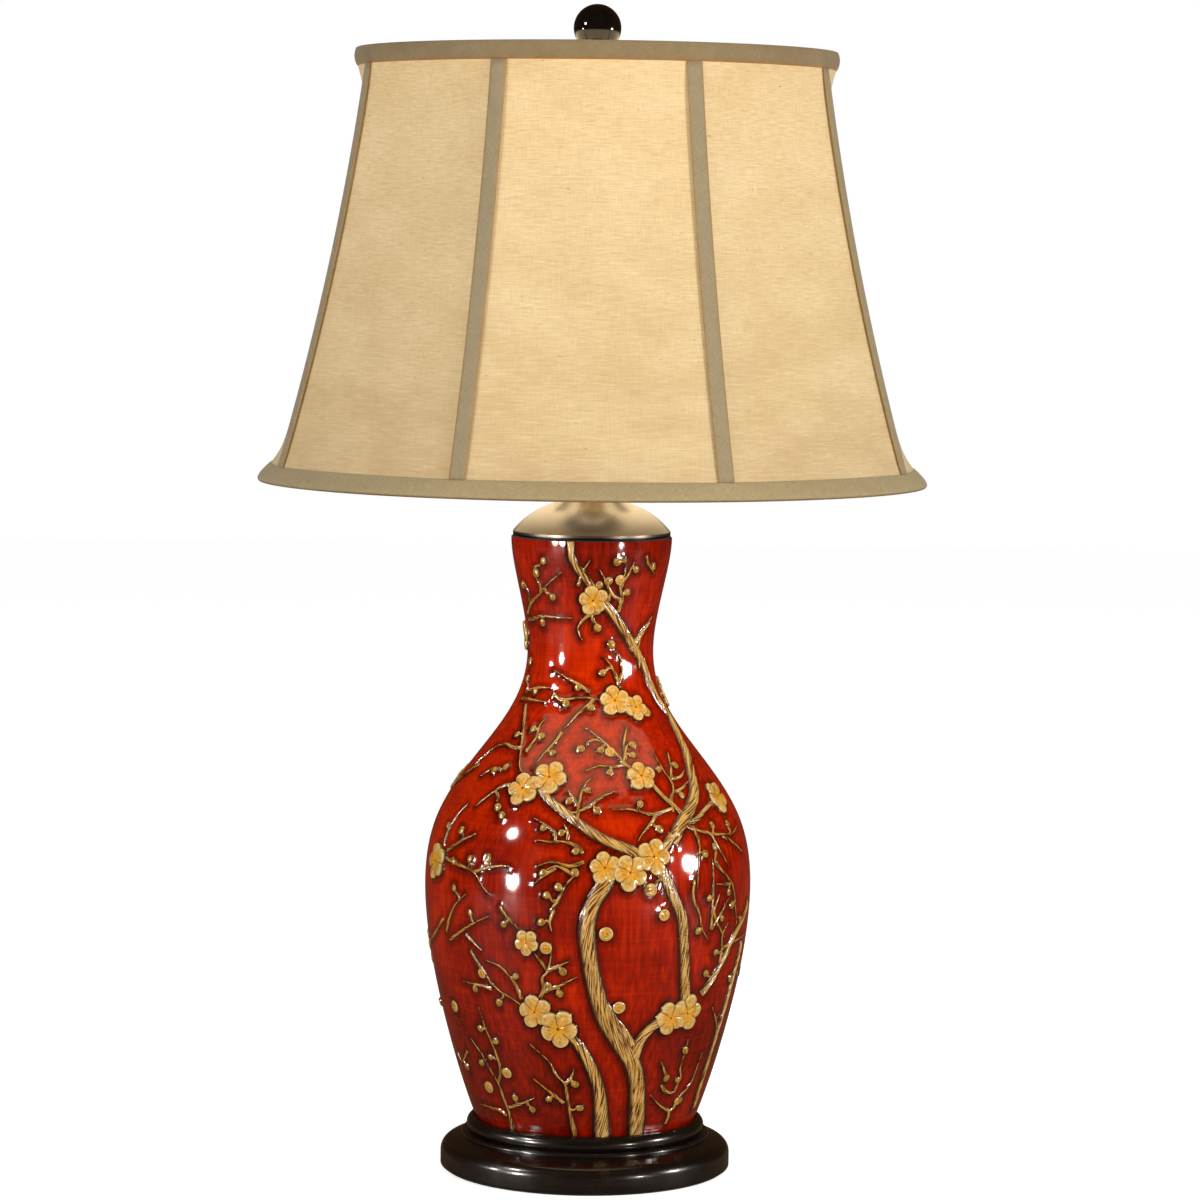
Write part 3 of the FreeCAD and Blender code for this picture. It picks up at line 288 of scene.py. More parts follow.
def glaze_finish():
    """Red-orange glaze, brushed both ways, with dark specks, darker toward the foot, painted shade on the neck
    under the lampshade, and dark round the relief, where glaze pools and a painted shadow falls below and left
    of it.
    """
    finish = Finish("red_glaze", Roughness=0.09, Specular_IOR_Level=0.5)
    place = finish.place
    upright = finish.noise(finish.stretched(place, (420, 420, 34)), detail=3)
    level = finish.noise(finish.stretched(place, (26, 26, 520)), detail=3)
    cloudy = finish.noise(place, 14, 3)
    brushed = finish.math("ADD", finish.math("MULTIPLY", upright, 0.70), finish.math("MULTIPLY", level, 0.30))
    tone = finish.math("ADD", finish.math("MULTIPLY", brushed, 0.50), finish.math("MULTIPLY", cloudy, 0.50))
    height = finish.split(place)["Z"]
    # darker toward the foot; on the neck, painted shade where the lampshade keeps the light off
    foot_dark_and_neck_shade = finish.math("ADD", finish.span(height, 0.02, 0.26, 0.16, 0.0, smooth=True),
                       finish.span(height, 0.34, 0.43, 0.0, 0.12, smooth=True))
    red = finish.ramp(finish.math("SUBTRACT", tone, foot_dark_and_neck_shade),
                      (0.26, paint(92, 10, 0)), (0.42, paint(146, 22, 0)),
                      (0.56, paint(188, 38, 0)), (0.74, paint(214, 58, 2)))
    specks = finish.noise(place, 310, 2, 0.6)
    speck = finish.span(specks, 0.68, 0.78)
    specked = finish.mix(finish.math("MULTIPLY", speck, 0.6), red, paint(70, 12, 4))
    # pool: glaze pooled dark round the relief, and a painted shadow that the relief casts below and to its left
    pool = finish.attribute("pool", "Fac")
    uneven = finish.span(finish.noise(place, 90, 2), 0.3, 0.7, 0.55, 1.0)
    halo_and_shadow = finish.math("MULTIPLY", finish.span(pool, 0.0, 0.62, 0.0, 0.62, smooth=True), uneven)
    pooled_and_shaded = finish.mix(halo_and_shadow, specked, paint(66, 4, 0))
    # near black right at the relief's edge: pooled glaze and painted shadow
    finish.colour(finish.mix(finish.span(pool, 0.70, 0.98, 0.0, 0.85, smooth=True), pooled_and_shaded, paint(30, 6, 1)))
    rim = finish.math("MULTIPLY", finish.math("MULTIPLY", pool, pool), 0.0004)
    finish.bump(finish.math("ADD", finish.math("MULTIPLY", brushed, 0.000015), rim), 1.0)
    return finish.material


GROOVE_ACROSS, GROOVE_TWIST = 1350.0, 340.0
GROOVE_ALONG, GROOVE_SLIP = 70.0, 18.0


def groove(nodes, length, side, stroke):
    """Noise drawn out along grooves that wind round a bough, as in a rope. The places are in metres."""
    across = nodes.math("ADD", nodes.math("MULTIPLY", side, GROOVE_ACROSS),
                        nodes.math("MULTIPLY", length, GROOVE_TWIST))
    along = nodes.math("SUBTRACT", nodes.math("MULTIPLY", length, GROOVE_ALONG),
                       nodes.math("MULTIPLY", side, GROOVE_SLIP))
    return nodes.noise(nodes.join(along, across, stroke), 1.0, 2.0)


def relief_finish(name, brown, shade, gold, cream):
    """Gilt relief with brown carved grain, from its grooves to its ridges, painted shade on the sides of its
    round back, and a dark outline.
    """
    finish = Finish(name, Specular_IOR_Level=0.9, Coat_Weight=0.8, Coat_Roughness=0.04)
    edge = finish.attribute("edge", "Fac")
    grain = finish.attribute("grain")
    places = finish.split(grain)
    carved = groove(finish, places["X"], places["Y"], places["Z"])
    fine = finish.noise(finish.stretched(grain, (110, 1900, 1)), detail=2)
    ridged = finish.math("MULTIPLY", finish.span(carved, 0.42, 0.54), 0.72)
    tone = finish.math("ADD", ridged, finish.math("MULTIPLY", finish.span(fine, 0.34, 0.66), 0.28))
    gilt = finish.ramp(tone, (0.05, brown), (0.30, shade), (0.58, gold), (0.92, cream))
    # rim: the sides of the round back go brown, painted shade where the back curves down, and brown wash at its
    # foot
    rim = finish.span(edge, 0.58, 0.98, 0.0, 0.85, smooth=True)
    shaded = finish.mix(rim, gilt, brown)
    outline = finish.span(edge, 0.93, 1.02)
    finish.colour(finish.mix(outline, shaded, paint(26, 6, 1)))
    finish.rough(finish.span(finish.noise(finish.place, 700, 2), 0.35, 0.65, 0.06, 0.20))
    finish.bump(carved, 0.0009, 0.7)
    return finish.material


def petal_finish():
    """Cream-gold petals with pale rims, amber hearts and fine brown radial lines."""
    finish = Finish("gilt_petals", Roughness=0.14, Specular_IOR_Level=0.7)
    petal = finish.split(finish.attribute("petal"))
    across, along, rim = petal["X"], petal["Y"], petal["Z"]
    reach = finish.math("SQRT", finish.math("ADD", finish.math("MULTIPLY", across, across),
                                            finish.math("MULTIPLY", along, along)))
    mottle = finish.noise(finish.place, 420, 3, 0.6)
    cream = finish.ramp(mottle, (0.30, paint(172, 124, 54)), (0.5, paint(208, 164, 88)),
                        (0.7, paint(228, 192, 120)))
    rays = finish.noise(finish.join(finish.math("MULTIPLY", finish.math("ARCTAN2", along, across), 7.0),
                                    finish.math("MULTIPLY", reach, 1.6), 3.0), 1.0, 1.0)
    ray = finish.math("MULTIPLY", finish.span(rays, 0.54, 0.66), finish.span(reach, 0.8, 0.40))
    patchy = finish.span(finish.noise(finish.place, 150, 2), 0.3, 0.7, -0.14, 0.14)
    heart = finish.span(finish.math("ADD", reach, patchy), 0.70, 0.20, smooth=True)
    amber = finish.mix(finish.math("MULTIPLY", heart, 0.85), cream, paint(228, 158, 24))
    lined = finish.mix(finish.math("MULTIPLY", ray, 0.7), amber, paint(128, 66, 12))
    dotted = finish.mix(finish.span(reach, 0.10, 0.05), lined, paint(126, 44, 8))
    pale = finish.math("MULTIPLY", finish.span(rim, 0.80, 0.90), finish.span(rim, 0.99, 0.94))
    rimmed = finish.mix(finish.math("MULTIPLY", pale, 0.4), dotted, paint(232, 206, 140))
    seam = finish.attribute("seam", "Fac")
    seamed = finish.mix(finish.math("MULTIPLY", seam, 0.75), rimmed, paint(112, 58, 16))
    outline = finish.span(rim, 0.965, 1.0)
    finish.colour(finish.mix(outline, seamed, paint(28, 7, 2)))
    return finish.material


def bud_finish():
    """Gold buds with a brown fold inside and a dark outline."""
    finish = Finish("gilt_buds", Roughness=0.09, Specular_IOR_Level=0.9, Coat_Weight=0.6, Coat_Roughness=0.04)
    bud = finish.split(finish.attribute("petal"))
    mottle = finish.noise(finish.place, 420, 3, 0.6)
    gold = finish.ramp(mottle, (0.30, paint(132, 88, 24)), (0.5, paint(170, 124, 46)),
                       (0.7, paint(200, 156, 76)))
    off = finish.math("ABSOLUTE", finish.math("SUBTRACT", bud["Z"], 0.60))
    fold = finish.math("MULTIPLY", finish.span(off, 0.10, 0.02), finish.span(bud["Y"], -0.05, 0.15))
    folded = finish.mix(finish.math("MULTIPLY", fold, 0.8), gold, paint(112, 60, 16))
    finish.colour(finish.mix(finish.span(bud["Z"], 0.84, 1.0), folded, paint(28, 7, 2)))
    return finish.material


def lacquer_finish():
    """Black-brown lacquer on turned wood, worn browner in patches."""
    finish = Finish("black_brown_lacquer", Specular_IOR_Level=0.5, Coat_Weight=0.35, Coat_Roughness=0.08)
    rings = finish.noise(finish.stretched(finish.place, (9, 9, 420)), detail=3)
    pores = finish.noise(finish.stretched(finish.place, (60, 60, 900)), detail=2)
    wear = finish.noise(finish.place, 40, 4, 0.6)
    dark = finish.ramp(rings, (0.3, paint(10, 7, 5)), (0.55, paint(20, 14, 10)), (0.75, paint(36, 24, 16)))
    finish.colour(finish.mix(finish.span(wear, 0.60, 0.78, 0, 0.4), dark, paint(66, 42, 24)))
    finish.rough(finish.span(wear, 0.3, 0.7, 0.18, 0.30))
    finish.bump(pores, 0.00004, 0.4)
    return finish.material


METAL_UNEVEN, METAL_MARKS = 0.1, 0.00003


def metal_finish(name, colour, dull, rough, brush=(40, 40, 900)):
    """Metal with fine marks along one way, and a duller colour in patches."""
    finish = Finish(name, Metallic=1.0)
    marks = finish.noise(finish.stretched(finish.place, brush), detail=3)
    patches = finish.noise(finish.place, 60, 3, 0.6)
    finish.colour(finish.ramp(patches, (0.3, dull), (0.62, colour)))
    finish.rough(finish.span(marks, 0.3, 0.7, rough - METAL_UNEVEN / 2, rough + METAL_UNEVEN))
    finish.bump(marks, METAL_MARKS, 0.5)
    return finish.material


# heights in mm of the near black painted shade along the cap's edge and of the brown painted shade above it
EDGE_SHADE, EDGE_SHADE_SOFT, BROWN_SHADE_FROM, BROWN_SHADE_TO = 1.4, 0.4, 3.0, 20.0


def spun_finish():
    """Satin nickel, spun, with painted shade brown toward its lip and near black along its edge. The heights
    are in mm.
    """
    finish = Finish("spun_nickel", Metallic=1.0)
    marks = finish.noise(finish.stretched(finish.place, (14, 14, 1500)), detail=3)
    patches = finish.noise(finish.place, 60, 3, 0.6)
    height = finish.split(finish.place)["Z"]
    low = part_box("vase_cap")[0][2]
    spun_colour = finish.ramp(patches, (0.3, paint(194, 188, 181)), (0.62, paint(202, 196, 190)))
    # painted shade, brown toward the lip
    brown_shade = finish.span(height, low + BROWN_SHADE_FROM * MM, low + BROWN_SHADE_TO * MM, 0.80, 0.0, smooth=True)
    brown_shaded = finish.mix(brown_shade, spun_colour, paint(74, 60, 46))
    # edge: painted shade, near black along the lip where the cap meets the vase
    edge = finish.span(height, low + (EDGE_SHADE + EDGE_SHADE_SOFT) * MM, low + (EDGE_SHADE - EDGE_SHADE_SOFT) * MM)
    finish.colour(finish.mix(edge, brown_shaded, paint(34, 27, 22)))
    finish.rough(finish.span(marks, 0.3, 0.7, 0.31, 0.36))
    finish.bump(marks, 0.000006, 0.5)
    return finish.material


def moulded_finish(name, colour, worn, rough):
    """Moulded plastic, phenolic or rubber: fine grain, and a little wear in patches."""
    finish = Finish(name, Specular_IOR_Level=0.45)
    patches = finish.noise(finish.place, 90, 4, 0.6)
    finish.colour(finish.ramp(patches, (0.35, colour), (0.75, worn)))
    finish.rough(finish.span(patches, 0.3, 0.7, rough * 0.85, min(1.0, rough * 1.2)))
    finish.bump(finish.noise(finish.place, 900, 2), 0.00003, 0.4)
    return finish.material


def black_gloss_finish():
    finish = Finish("black_gloss", Base_Color=paint(7, 7, 8), Specular_IOR_Level=0.5, Coat_Weight=0.6,
                    Coat_Roughness=0.03)
    smears = finish.noise(finish.place, 120, 4, 0.6)
    finish.colour(finish.ramp(smears, (0.3, paint(5, 5, 5)), (0.75, paint(14, 12, 11))))
    finish.rough(finish.span(smears, 0.35, 0.7, 0.05, 0.16))
    return finish.material


def woven(finish, fine_scale, loose_scale):
    """Threads both ways on the piece's flat map, in metres: the weave, and slubs where yarns are thicker."""
    flat = finish.flat_map()
    warp = finish.noise(finish.stretched(flat, (fine_scale, fine_scale * 0.07, 1)), detail=2)
    weft = finish.noise(finish.stretched(flat, (fine_scale * 0.06, fine_scale, 1)), detail=2)
    loose_warp = finish.noise(finish.stretched(flat, (loose_scale, loose_scale * 0.09, 1)), detail=2)
    loose_weft = finish.noise(finish.stretched(flat, (loose_scale * 0.08, loose_scale, 1)), detail=3)
    weave = finish.math("ADD", finish.math("MULTIPLY", warp, 0.36), finish.math("MULTIPLY", weft, 0.64))
    slubs = finish.math("ADD", finish.math("MULTIPLY", loose_warp, 0.22),
                        finish.math("MULTIPLY", loose_weft, 0.78))
    return weave, slubs


def cloth_finish():
    """Cream shade cloth, mottled, lit warm from inside, with painted light brighter high up and darker toward
    its lower edge.
    """
    finish = Finish("shade_cloth", Roughness=0.85, Specular_IOR_Level=0.2, Sheen_Weight=0.15,
                    Sheen_Roughness=0.5)
    weave, slubs = woven(finish, 1400, 640)
    height = finish.split(finish.place)["Z"]
    low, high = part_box("shade_panel_1")[0][2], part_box("shade_panel_1")[1][2]
    tall = finish.span(height, low, high)
    # painted light through the cloth: brighter high up, darker toward its lower edge
    lit_by_height = finish.ramp(tall, (0.0, paint(194, 168, 124)), (0.30, paint(208, 182, 134)),
                       (0.8, paint(224, 196, 146)), (1.0, paint(218, 188, 136)))
    cloudy = finish.noise(finish.stretched(finish.place, (16, 16, 34)), detail=3)
    patched = finish.mix(finish.span(cloudy, 0.36, 0.68, 0.0, 0.30), lit_by_height, paint(244, 222, 178))
    threads = finish.mix(finish.span(weave, 0.38, 0.60, 0.34, 0.0), patched, paint(176, 142, 92))
    loose = finish.mix(finish.span(slubs, 0.48, 0.34, 0.0, 0.16), threads, paint(170, 134, 82))
    pale = finish.mix(finish.span(slubs, 0.54, 0.66, 0.0, 0.14), loose, paint(250, 232, 190))
    flecks = finish.noise(finish.stretched(finish.flat_map(), (150, 620, 1)), detail=1)
    cloth = finish.mix(finish.span(flecks, 0.26, 0.20, 0.0, 0.5), pale, paint(138, 96, 48))
    finish.colour(cloth)
    finish.glow(cloth, 0.16)
    finish.bump(weave, 0.00008, 0.5)
    return finish.material


def tape_finish(name, middle, edge_colour, edge_from, edge_to):
    """Bias tape or binding: middle and edge colours by how far across the tape a point lies."""
    finish = Finish(name, Roughness=0.8, Specular_IOR_Level=0.25, Sheen_Weight=0.2, Sheen_Roughness=0.4)
    flat = finish.flat_map()
    across = finish.attribute("across", "Fac")
    turned = finish.add("ShaderNodeMapping", {"Vector": flat, "Rotation": (0, 0, math.radians(45))})
    warp = finish.noise(finish.stretched(turned, (1500, 120, 1)), detail=2)
    weft = finish.noise(finish.stretched(turned, (120, 1500, 1)), detail=2)
    weave = finish.math("ADD", finish.math("MULTIPLY", warp, 0.5), finish.math("MULTIPLY", weft, 0.5))
    tone = finish.ramp(across, (edge_from, middle), (edge_to, edge_colour))
    cloudy = finish.noise(finish.place, 70, 3, 0.6)
    aged = finish.mix(finish.span(cloudy, 0.35, 0.75, 0.0, 0.3), tone, paint(176, 156, 120))
    colour = finish.mix(finish.span(weave, 0.42, 0.6, 0.3, 0.0), aged, paint(112, 92, 62))
    finish.colour(colour)
    # a faint glow: painted light of the bulb through the tape
    finish.glow(colour, 0.06)
    finish.bump(weave, 0.0001, 0.6)
    return finish.material


def lining_finish():
    """Off-white hardback lining, lit by the bulb."""
    finish = Finish("hardback_lining", Roughness=0.7, Specular_IOR_Level=0.3)
    weave, slubs = woven(finish, 900, 300)
    pale = finish.mix(finish.span(weave, 0.42, 0.6, 0.3, 0.0), paint(240, 226, 192), paint(206, 186, 146))
    warm = finish.mix(finish.span(slubs, 0.46, 0.34, 0.0, 0.3), pale, paint(196, 168, 120))
    finish.colour(warm)
    finish.glow(warm, 0.95)
    finish.bump(weave, 0.00006, 0.5)
    return finish.material


def felt_finish():
    finish = Finish("base_felt", Roughness=0.95, Specular_IOR_Level=0.15, Sheen_Weight=0.4,
                    Sheen_Roughness=0.6)
    fibres = finish.noise(finish.place, 1600, 4, 0.7)
    finish.colour(finish.ramp(fibres, (0.3, paint(20, 30, 24)), (0.7, paint(52, 66, 54))))
    finish.bump(fibres, 0.0003, 0.8)
    return finish.material


def paper_finish():
    finish = Finish("liner_paper", Roughness=0.85, Specular_IOR_Level=0.2)
    pulp = finish.noise(finish.place, 700, 4, 0.7)
    finish.colour(finish.ramp(pulp, (0.3, paint(88, 66, 44)), (0.7, paint(142, 112, 78))))
    finish.bump(pulp, 0.0001, 0.5)
    return finish.material


def bulb_glass_finish():
    """Soft-white frosted glass, glowing a little."""
    finish = Finish("frosted_glass", Roughness=0.35, Specular_IOR_Level=0.5, Subsurface_Weight=0.2)
    frost = finish.noise(finish.place, 500, 3, 0.6)
    finish.colour(finish.ramp(frost, (0.3, paint(244, 236, 216)), (0.7, paint(255, 250, 236))))
    finish.glow((1.0, 0.93, 0.78, 1.0), 0.5)
    return finish.material


def stem_glass_finish():
    finish = Finish("stem_glass", Transmission_Weight=0.85, Base_Color=paint(240, 240, 236))
    ripples = finish.noise(finish.place, 300, 2)
    finish.rough(finish.span(ripples, 0.3, 0.7, 0.04, 0.16))
    return finish.material


def wire_finish():
    finish = Finish("coated_wire", Specular_IOR_Level=0.45)
    chalk = finish.noise(finish.place, 260, 3, 0.6)
    finish.colour(finish.ramp(chalk, (0.3, paint(206, 200, 186)), (0.7, paint(232, 228, 216))))
    finish.rough(finish.span(chalk, 0.3, 0.7, 0.3, 0.5))
    return finish.material


NICKEL = metal_finish("plated_nickel", paint(204, 198, 186), paint(178, 170, 156), 0.22)
BRASS = metal_finish("satin_brass", paint(206, 172, 102), paint(176, 140, 78), 0.28)
BRIGHT_BRASS = metal_finish("bright_brass", paint(226, 190, 112), paint(196, 158, 84), 0.16)
ZINC = metal_finish("dull_zinc", paint(176, 176, 170), paint(140, 140, 134), 0.42, (200, 200, 200))
TIN = metal_finish("rolled_aluminium", paint(214, 214, 210), paint(186, 186, 180), 0.26)
SPUN_NICKEL = spun_finish()
PHENOLIC = moulded_finish("black_phenolic", paint(18, 16, 15), paint(34, 30, 26), 0.34)
CORE = moulded_finish("brown_phenolic", paint(38, 28, 22), paint(56, 42, 32), 0.5)
RUBBER = moulded_finish("matt_rubber", paint(20, 20, 20), paint(38, 36, 34), 0.8)
BLACK_GLASS = moulded_finish("black_glass", paint(14, 12, 12), paint(24, 20, 18), 0.12)
GLAZE = glaze_finish()
BARK = relief_finish("gilt_bark", paint(52, 18, 3), paint(128, 68, 14), paint(192, 138, 58),
                     paint(222, 180, 102))
TWIGS_GILT = relief_finish("gilt_twigs", paint(58, 24, 4), paint(126, 74, 16), paint(170, 114, 34),
                           paint(208, 156, 68))
PETALS = petal_finish()
BUDS_GILT = bud_finish()
LACQUER = lacquer_finish()
BLACK_GLOSS = black_gloss_finish()
CLOTH = cloth_finish()
RIB_TAPE = tape_finish("rib_tape", paint(156, 142, 112), paint(170, 136, 82), 0.66, 0.92)
TOP_BINDING = tape_finish("top_binding", paint(138, 118, 84), paint(170, 112, 50), 0.84, 0.96)
# the bottom binding's dark brown lower edge and underside are painted shade
BOTTOM_BINDING = tape_finish("bottom_binding", paint(172, 154, 114), paint(112, 78, 40), 0.86, 0.96)
LINING = lining_finish()
FELT = felt_finish()

HARDWARE = {
    NICKEL: ("harp_saddle", "harp_arm_left", "harp_arm_right", "harp_sleeve_left", "harp_sleeve_right",
             "harp_collar", "shade_swivel", "shade_spider", "finial_washer", "finial_insert", "finial_base"),
    BRASS: ("socket_cap", "socket_shell"),
    BRIGHT_BRASS: ("screw_shell", "centre_contact", "terminal_screws", "switch_shaft"),
    ZINC: ("threaded_rod", "base_washer", "base_nut", "neck_nut", "socket_set_screw", "bulb_contact"),
    TIN: ("bulb_cap",),
    PHENOLIC: ("cord_bushing", "switch_knob"),
    CORE: ("socket_core",),
    RUBBER: ("foot_gasket", "rim_gasket"),
    BLACK_GLASS: ("bulb_insulator",),
    paper_finish(): ("socket_liner",),
    bulb_glass_finish(): ("bulb_glass",),
    stem_glass_finish(): ("bulb_stem",),
    wire_finish(): ("shade_top_ring", "shade_bottom_ring", "shade_rib_wires"),
}
BODY_OF = {node: body for body, nodes in frame["record"]["behaviour"]["bodies"].items() for node in nodes}
SLOT_OF = {part["node"]: part["material_slot"] for part in frame["record"]["subparts"]}


# Pieces

def new_piece(name, mesh, body, slot, replaced=()):
    """A piece at the origin that rides on a body, and hides the nodes it stands for. Its slot is not used."""
    piece = new_object(name, mesh)
    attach(piece, body)
    if replaced:
        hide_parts(*replaced)
    return piece


def smooth(mesh, crease=None):
    mesh.shade_smooth()
    if crease:
        mesh.set_sharp_from_angle(angle=math.radians(crease))


def grid_mesh(name, rows, material, flat, across=None, closed=False):
    """Mesh of rows of points, with a flat map in metres and, if asked, a value across the rows."""
    wide = len(rows[0])
    tall = len(rows)
    mesh = bpy.data.meshes.new(name)
    faces = []
    maps = []
    for row in range(tall - 1):
        here, above = row * wide, (row + 1) * wide
        for column in range(wide if closed else wide - 1):
            after = (column + 1) % wide
            faces.append((here + column, here + after, above + after, above + column))
            maps.extend(flat(row + up, column + side) for up, side in ((0, 0), (0, 1), (1, 1), (1, 0)))
    mesh.from_pydata([point for row in rows for point in row], [], faces)
    layer = mesh.uv_layers.new(name="flat")
    layer.data.foreach_set("uv", [part for spot in maps for part in spot])
    if across:
        spread = mesh.attributes.new("across", "FLOAT", "POINT")
        spread.data.foreach_set("value", [across(row, column) for row in range(tall) for column in range(wide)])
    mesh.materials.append(material)
    smooth(mesh)
    return mesh


def ring_point(radius, turn, level):
    return Vector((radius * math.cos(turn), radius * math.sin(turn), level))


def lathe(name, outline, material, steps=192, crease=32):
    """Turned mesh of an outline of (radius, level) in mm, run so that the solid lies on its left."""
    lengths = [0.0]
    for (radius, level), (before, under) in zip(outline[1:], outline):
        lengths.append(lengths[-1] + math.hypot(radius - before, level - under) * MM)
    rows = [[ring_point(radius * MM, math.tau * step / steps, level * MM) for step in range(steps)]
            for radius, level in outline]
    widest = max(radius for radius, level in outline) * MM
    mesh = grid_mesh(name, rows, material,
                     lambda row, column: (math.tau * widest * column / steps, lengths[row]), closed=True)
    weld(mesh)
    smooth(mesh, crease)
    return mesh


def weld(mesh):
    """Closes the mesh where its points lie on each other, such as at the poles and the outline's ends."""
    work = bmesh.new()
    work.from_mesh(mesh)
    bmesh.ops.remove_doubles(work, verts=work.verts, dist=0.01 * MM)
    work.to_mesh(mesh)
    work.free()


def bowed(start, end, bow, steps):
    """Points from start towards end, end left out, on an arc that stands out to the right by bow."""
    along = Vector(end) - Vector(start)
    right = Vector((along.y, -along.x)).normalized()
    half = along.length / 2
    radius = (half * half + bow * bow) / (2 * abs(bow))
    sweep = math.asin(min(1.0, half / radius))
    if abs(bow) > half:
        sweep = math.pi - sweep
    centre = Vector(start) + along / 2 + right * (math.copysign(1, bow) * (abs(bow) - radius))
    points = []
    for step in range(steps):
        turn = sweep * (2 * step / steps - 1)
        out = math.copysign(1, bow) * radius * math.cos(turn)
        points.append(centre + right * out + along.normalized() * radius * math.sin(turn))
    return [tuple(point) for point in points]


def rounded(before, corner, after, radius, steps):
    """Points that round a corner of an outline."""
    toward = (Vector(before) - Vector(corner)).normalized()
    onward = (Vector(after) - Vector(corner)).normalized()
    half = toward.angle(onward) / 2
    reach = radius / math.tan(half)
    first = Vector(corner) + toward * reach
    last = Vector(corner) + onward * reach
    centre = Vector(corner) + (toward + onward).normalized() * (radius / math.sin(half))
    points = []
    for step in range(steps + 1):
        share = step / steps
        ray = (first - centre).lerp(last - centre, share)
        points.append(tuple(centre + ray.normalized() * radius))
    return points


# Turned base

FELT_THICKNESS, FELT_INNER = 1.5, 36.0
BASE_RADIUS, BASE_HEIGHT = 100.0, 34.5
BASE_SHOULDER, BASE_ROUND, BASE_EDGE = 16.0, 9.0, 1.2
BEAD = ((85.2, 21.3), (83.2, 24.2), 1.3)
TORUS = ((80.4, 24.5), (77.5, 34.5), 3.0)
SEAT_RADIUS, SEAT_DEPTH = 76.3, 3.0
ROD_HOLE, WELL_RADIUS, WELL_DEPTH = 5.5, 20.0, 12.5


def make_base():
    heel = (BASE_RADIUS, 0.0)
    shoulder = (BASE_RADIUS, BASE_SHOULDER)
    outline = [(ROD_HOLE, WELL_DEPTH), (WELL_RADIUS, WELL_DEPTH), (WELL_RADIUS, 0.0)]
    outline += rounded(outline[-1], heel, shoulder, BASE_EDGE, 4)
    outline += rounded(heel, shoulder, BEAD[0], BASE_ROUND, 12)
    outline += bowed(*BEAD, 8) + [BEAD[1]]
    outline += bowed(*TORUS, 14) + [TORUS[1]]
    seat = BASE_HEIGHT - SEAT_DEPTH
    outline += [(SEAT_RADIUS, seat), (ROD_HOLE, seat), (ROD_HOLE, WELL_DEPTH)]
    outline = [(radius, level + FELT_THICKNESS) for radius, level in outline]
    new_piece("base_turning", lathe("base_turning", outline, LACQUER), "stand", "base_wood", ["turned_base"])
    outer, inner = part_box("base_felt")[1][0] / MM, FELT_INNER
    ring = [(inner, 0.0), (outer, 0.0), (outer, FELT_THICKNESS), (inner, FELT_THICKNESS), (inner, 0.0)]
    felt = new_piece("felt_ring", lathe("felt_ring", ring, FELT), "stand", "felt", ["base_felt"])


# Vase

VASE_POLES = ((75.7, 0.0), (84.3, 21.6), (98.2, 67.5), (112.8, 134.8), (114.0, 211.0),
              (60.1, 269.9), (33.3, 322.2), (55.3, 384.3), (55.1, 402.5))
VASE_FOOT = 34.5
VASE_WALL = 5.0
VASE_FLOOR = 7.0
DRAIN_RADIUS = 8.0
VASE_STEPS = 400
VASE_ROWS = 160
PROFILE_SAMPLES = 800
SIGHT_REACH, SIGHT_STEPS = 0.13, 240


def clamped_spline(poles, share):
    """The point at a share, 0 to 1, of the clamped uniform cubic spline with these control points."""
    degree = 3
    spans = len(poles) - degree
    place = min(share * spans, spans - 1e-9)
    span = int(place)

    def knot(index):
        return min(max(index - degree, 0), spans)

    points = [Vector(poles[span + step]) for step in range(degree + 1)]
    for level in range(1, degree + 1):
        for step in range(degree, level - 1, -1):
            low = knot(span + step)
            high = knot(span + step + 1 + degree - level)
            points[step] = points[step - 1].lerp(points[step], (place - low) / (high - low))
    return points[degree]


VASE_PROFILE = [clamped_spline(VASE_POLES, step / PROFILE_SAMPLES) for step in range(PROFILE_SAMPLES + 1)]
VASE_TABLE_STEP = 0.5


def tabulate():
    """The vase's radius at even heights over its foot, in mm."""
    table = []
    after = 1
    height = 0.0
    while height <= VASE_POLES[-1][1]:
        while VASE_PROFILE[after].y < height and after < PROFILE_SAMPLES:
            after += 1
        low, high = VASE_PROFILE[after - 1], VASE_PROFILE[after]
        table.append(low.x + (high.x - low.x) * (height - low.y) / (high.y - low.y))
        height += VASE_TABLE_STEP
    return table


VASE_TABLE = tabulate()


def vase_radius(level):
    """The glazed surface's radius at a level, both in metres."""
    place = (level / MM - VASE_FOOT) / VASE_TABLE_STEP
    place = min(max(place, 0.0), len(VASE_TABLE) - 1.001)
    low = int(place)
    share = place - low
    return (VASE_TABLE[low] * (1 - share) + VASE_TABLE[low + 1] * share) * MM


def outward(point):
    """Direction out of the vase's surface at a point on it."""
    step = MM
    lean = (vase_radius(point.z + step) - vase_radius(point.z - step)) / (2 * step)
    flat = Vector((point.x, point.y, 0)).normalized()
    return (flat - UP * lean).normalized()


def on_vase(column, row):
    """The point of the vase's front that shows at that pixel of the photograph, or the nearest to it."""
    ray = sight_line(column, row)
    near = (-SIGHT_REACH - CAMERA_PLACE.y) / ray.y
    far = -CAMERA_PLACE.y / ray.y
    best = None
    for step in range(SIGHT_STEPS + 1):
        reach = near + (far - near) * step / SIGHT_STEPS
        point = CAMERA_PLACE + ray * reach
        gap = math.hypot(point.x, point.y) - vase_radius(point.z)
        if best is None or gap < best[0]:
            best = (gap, point)
        if gap <= 0:
            break
    point = best[1]
    return on_surface(math.atan2(point.y, point.x), point.z)


def on_surface(turn, level):
    return ring_point(vase_radius(level), turn, level)


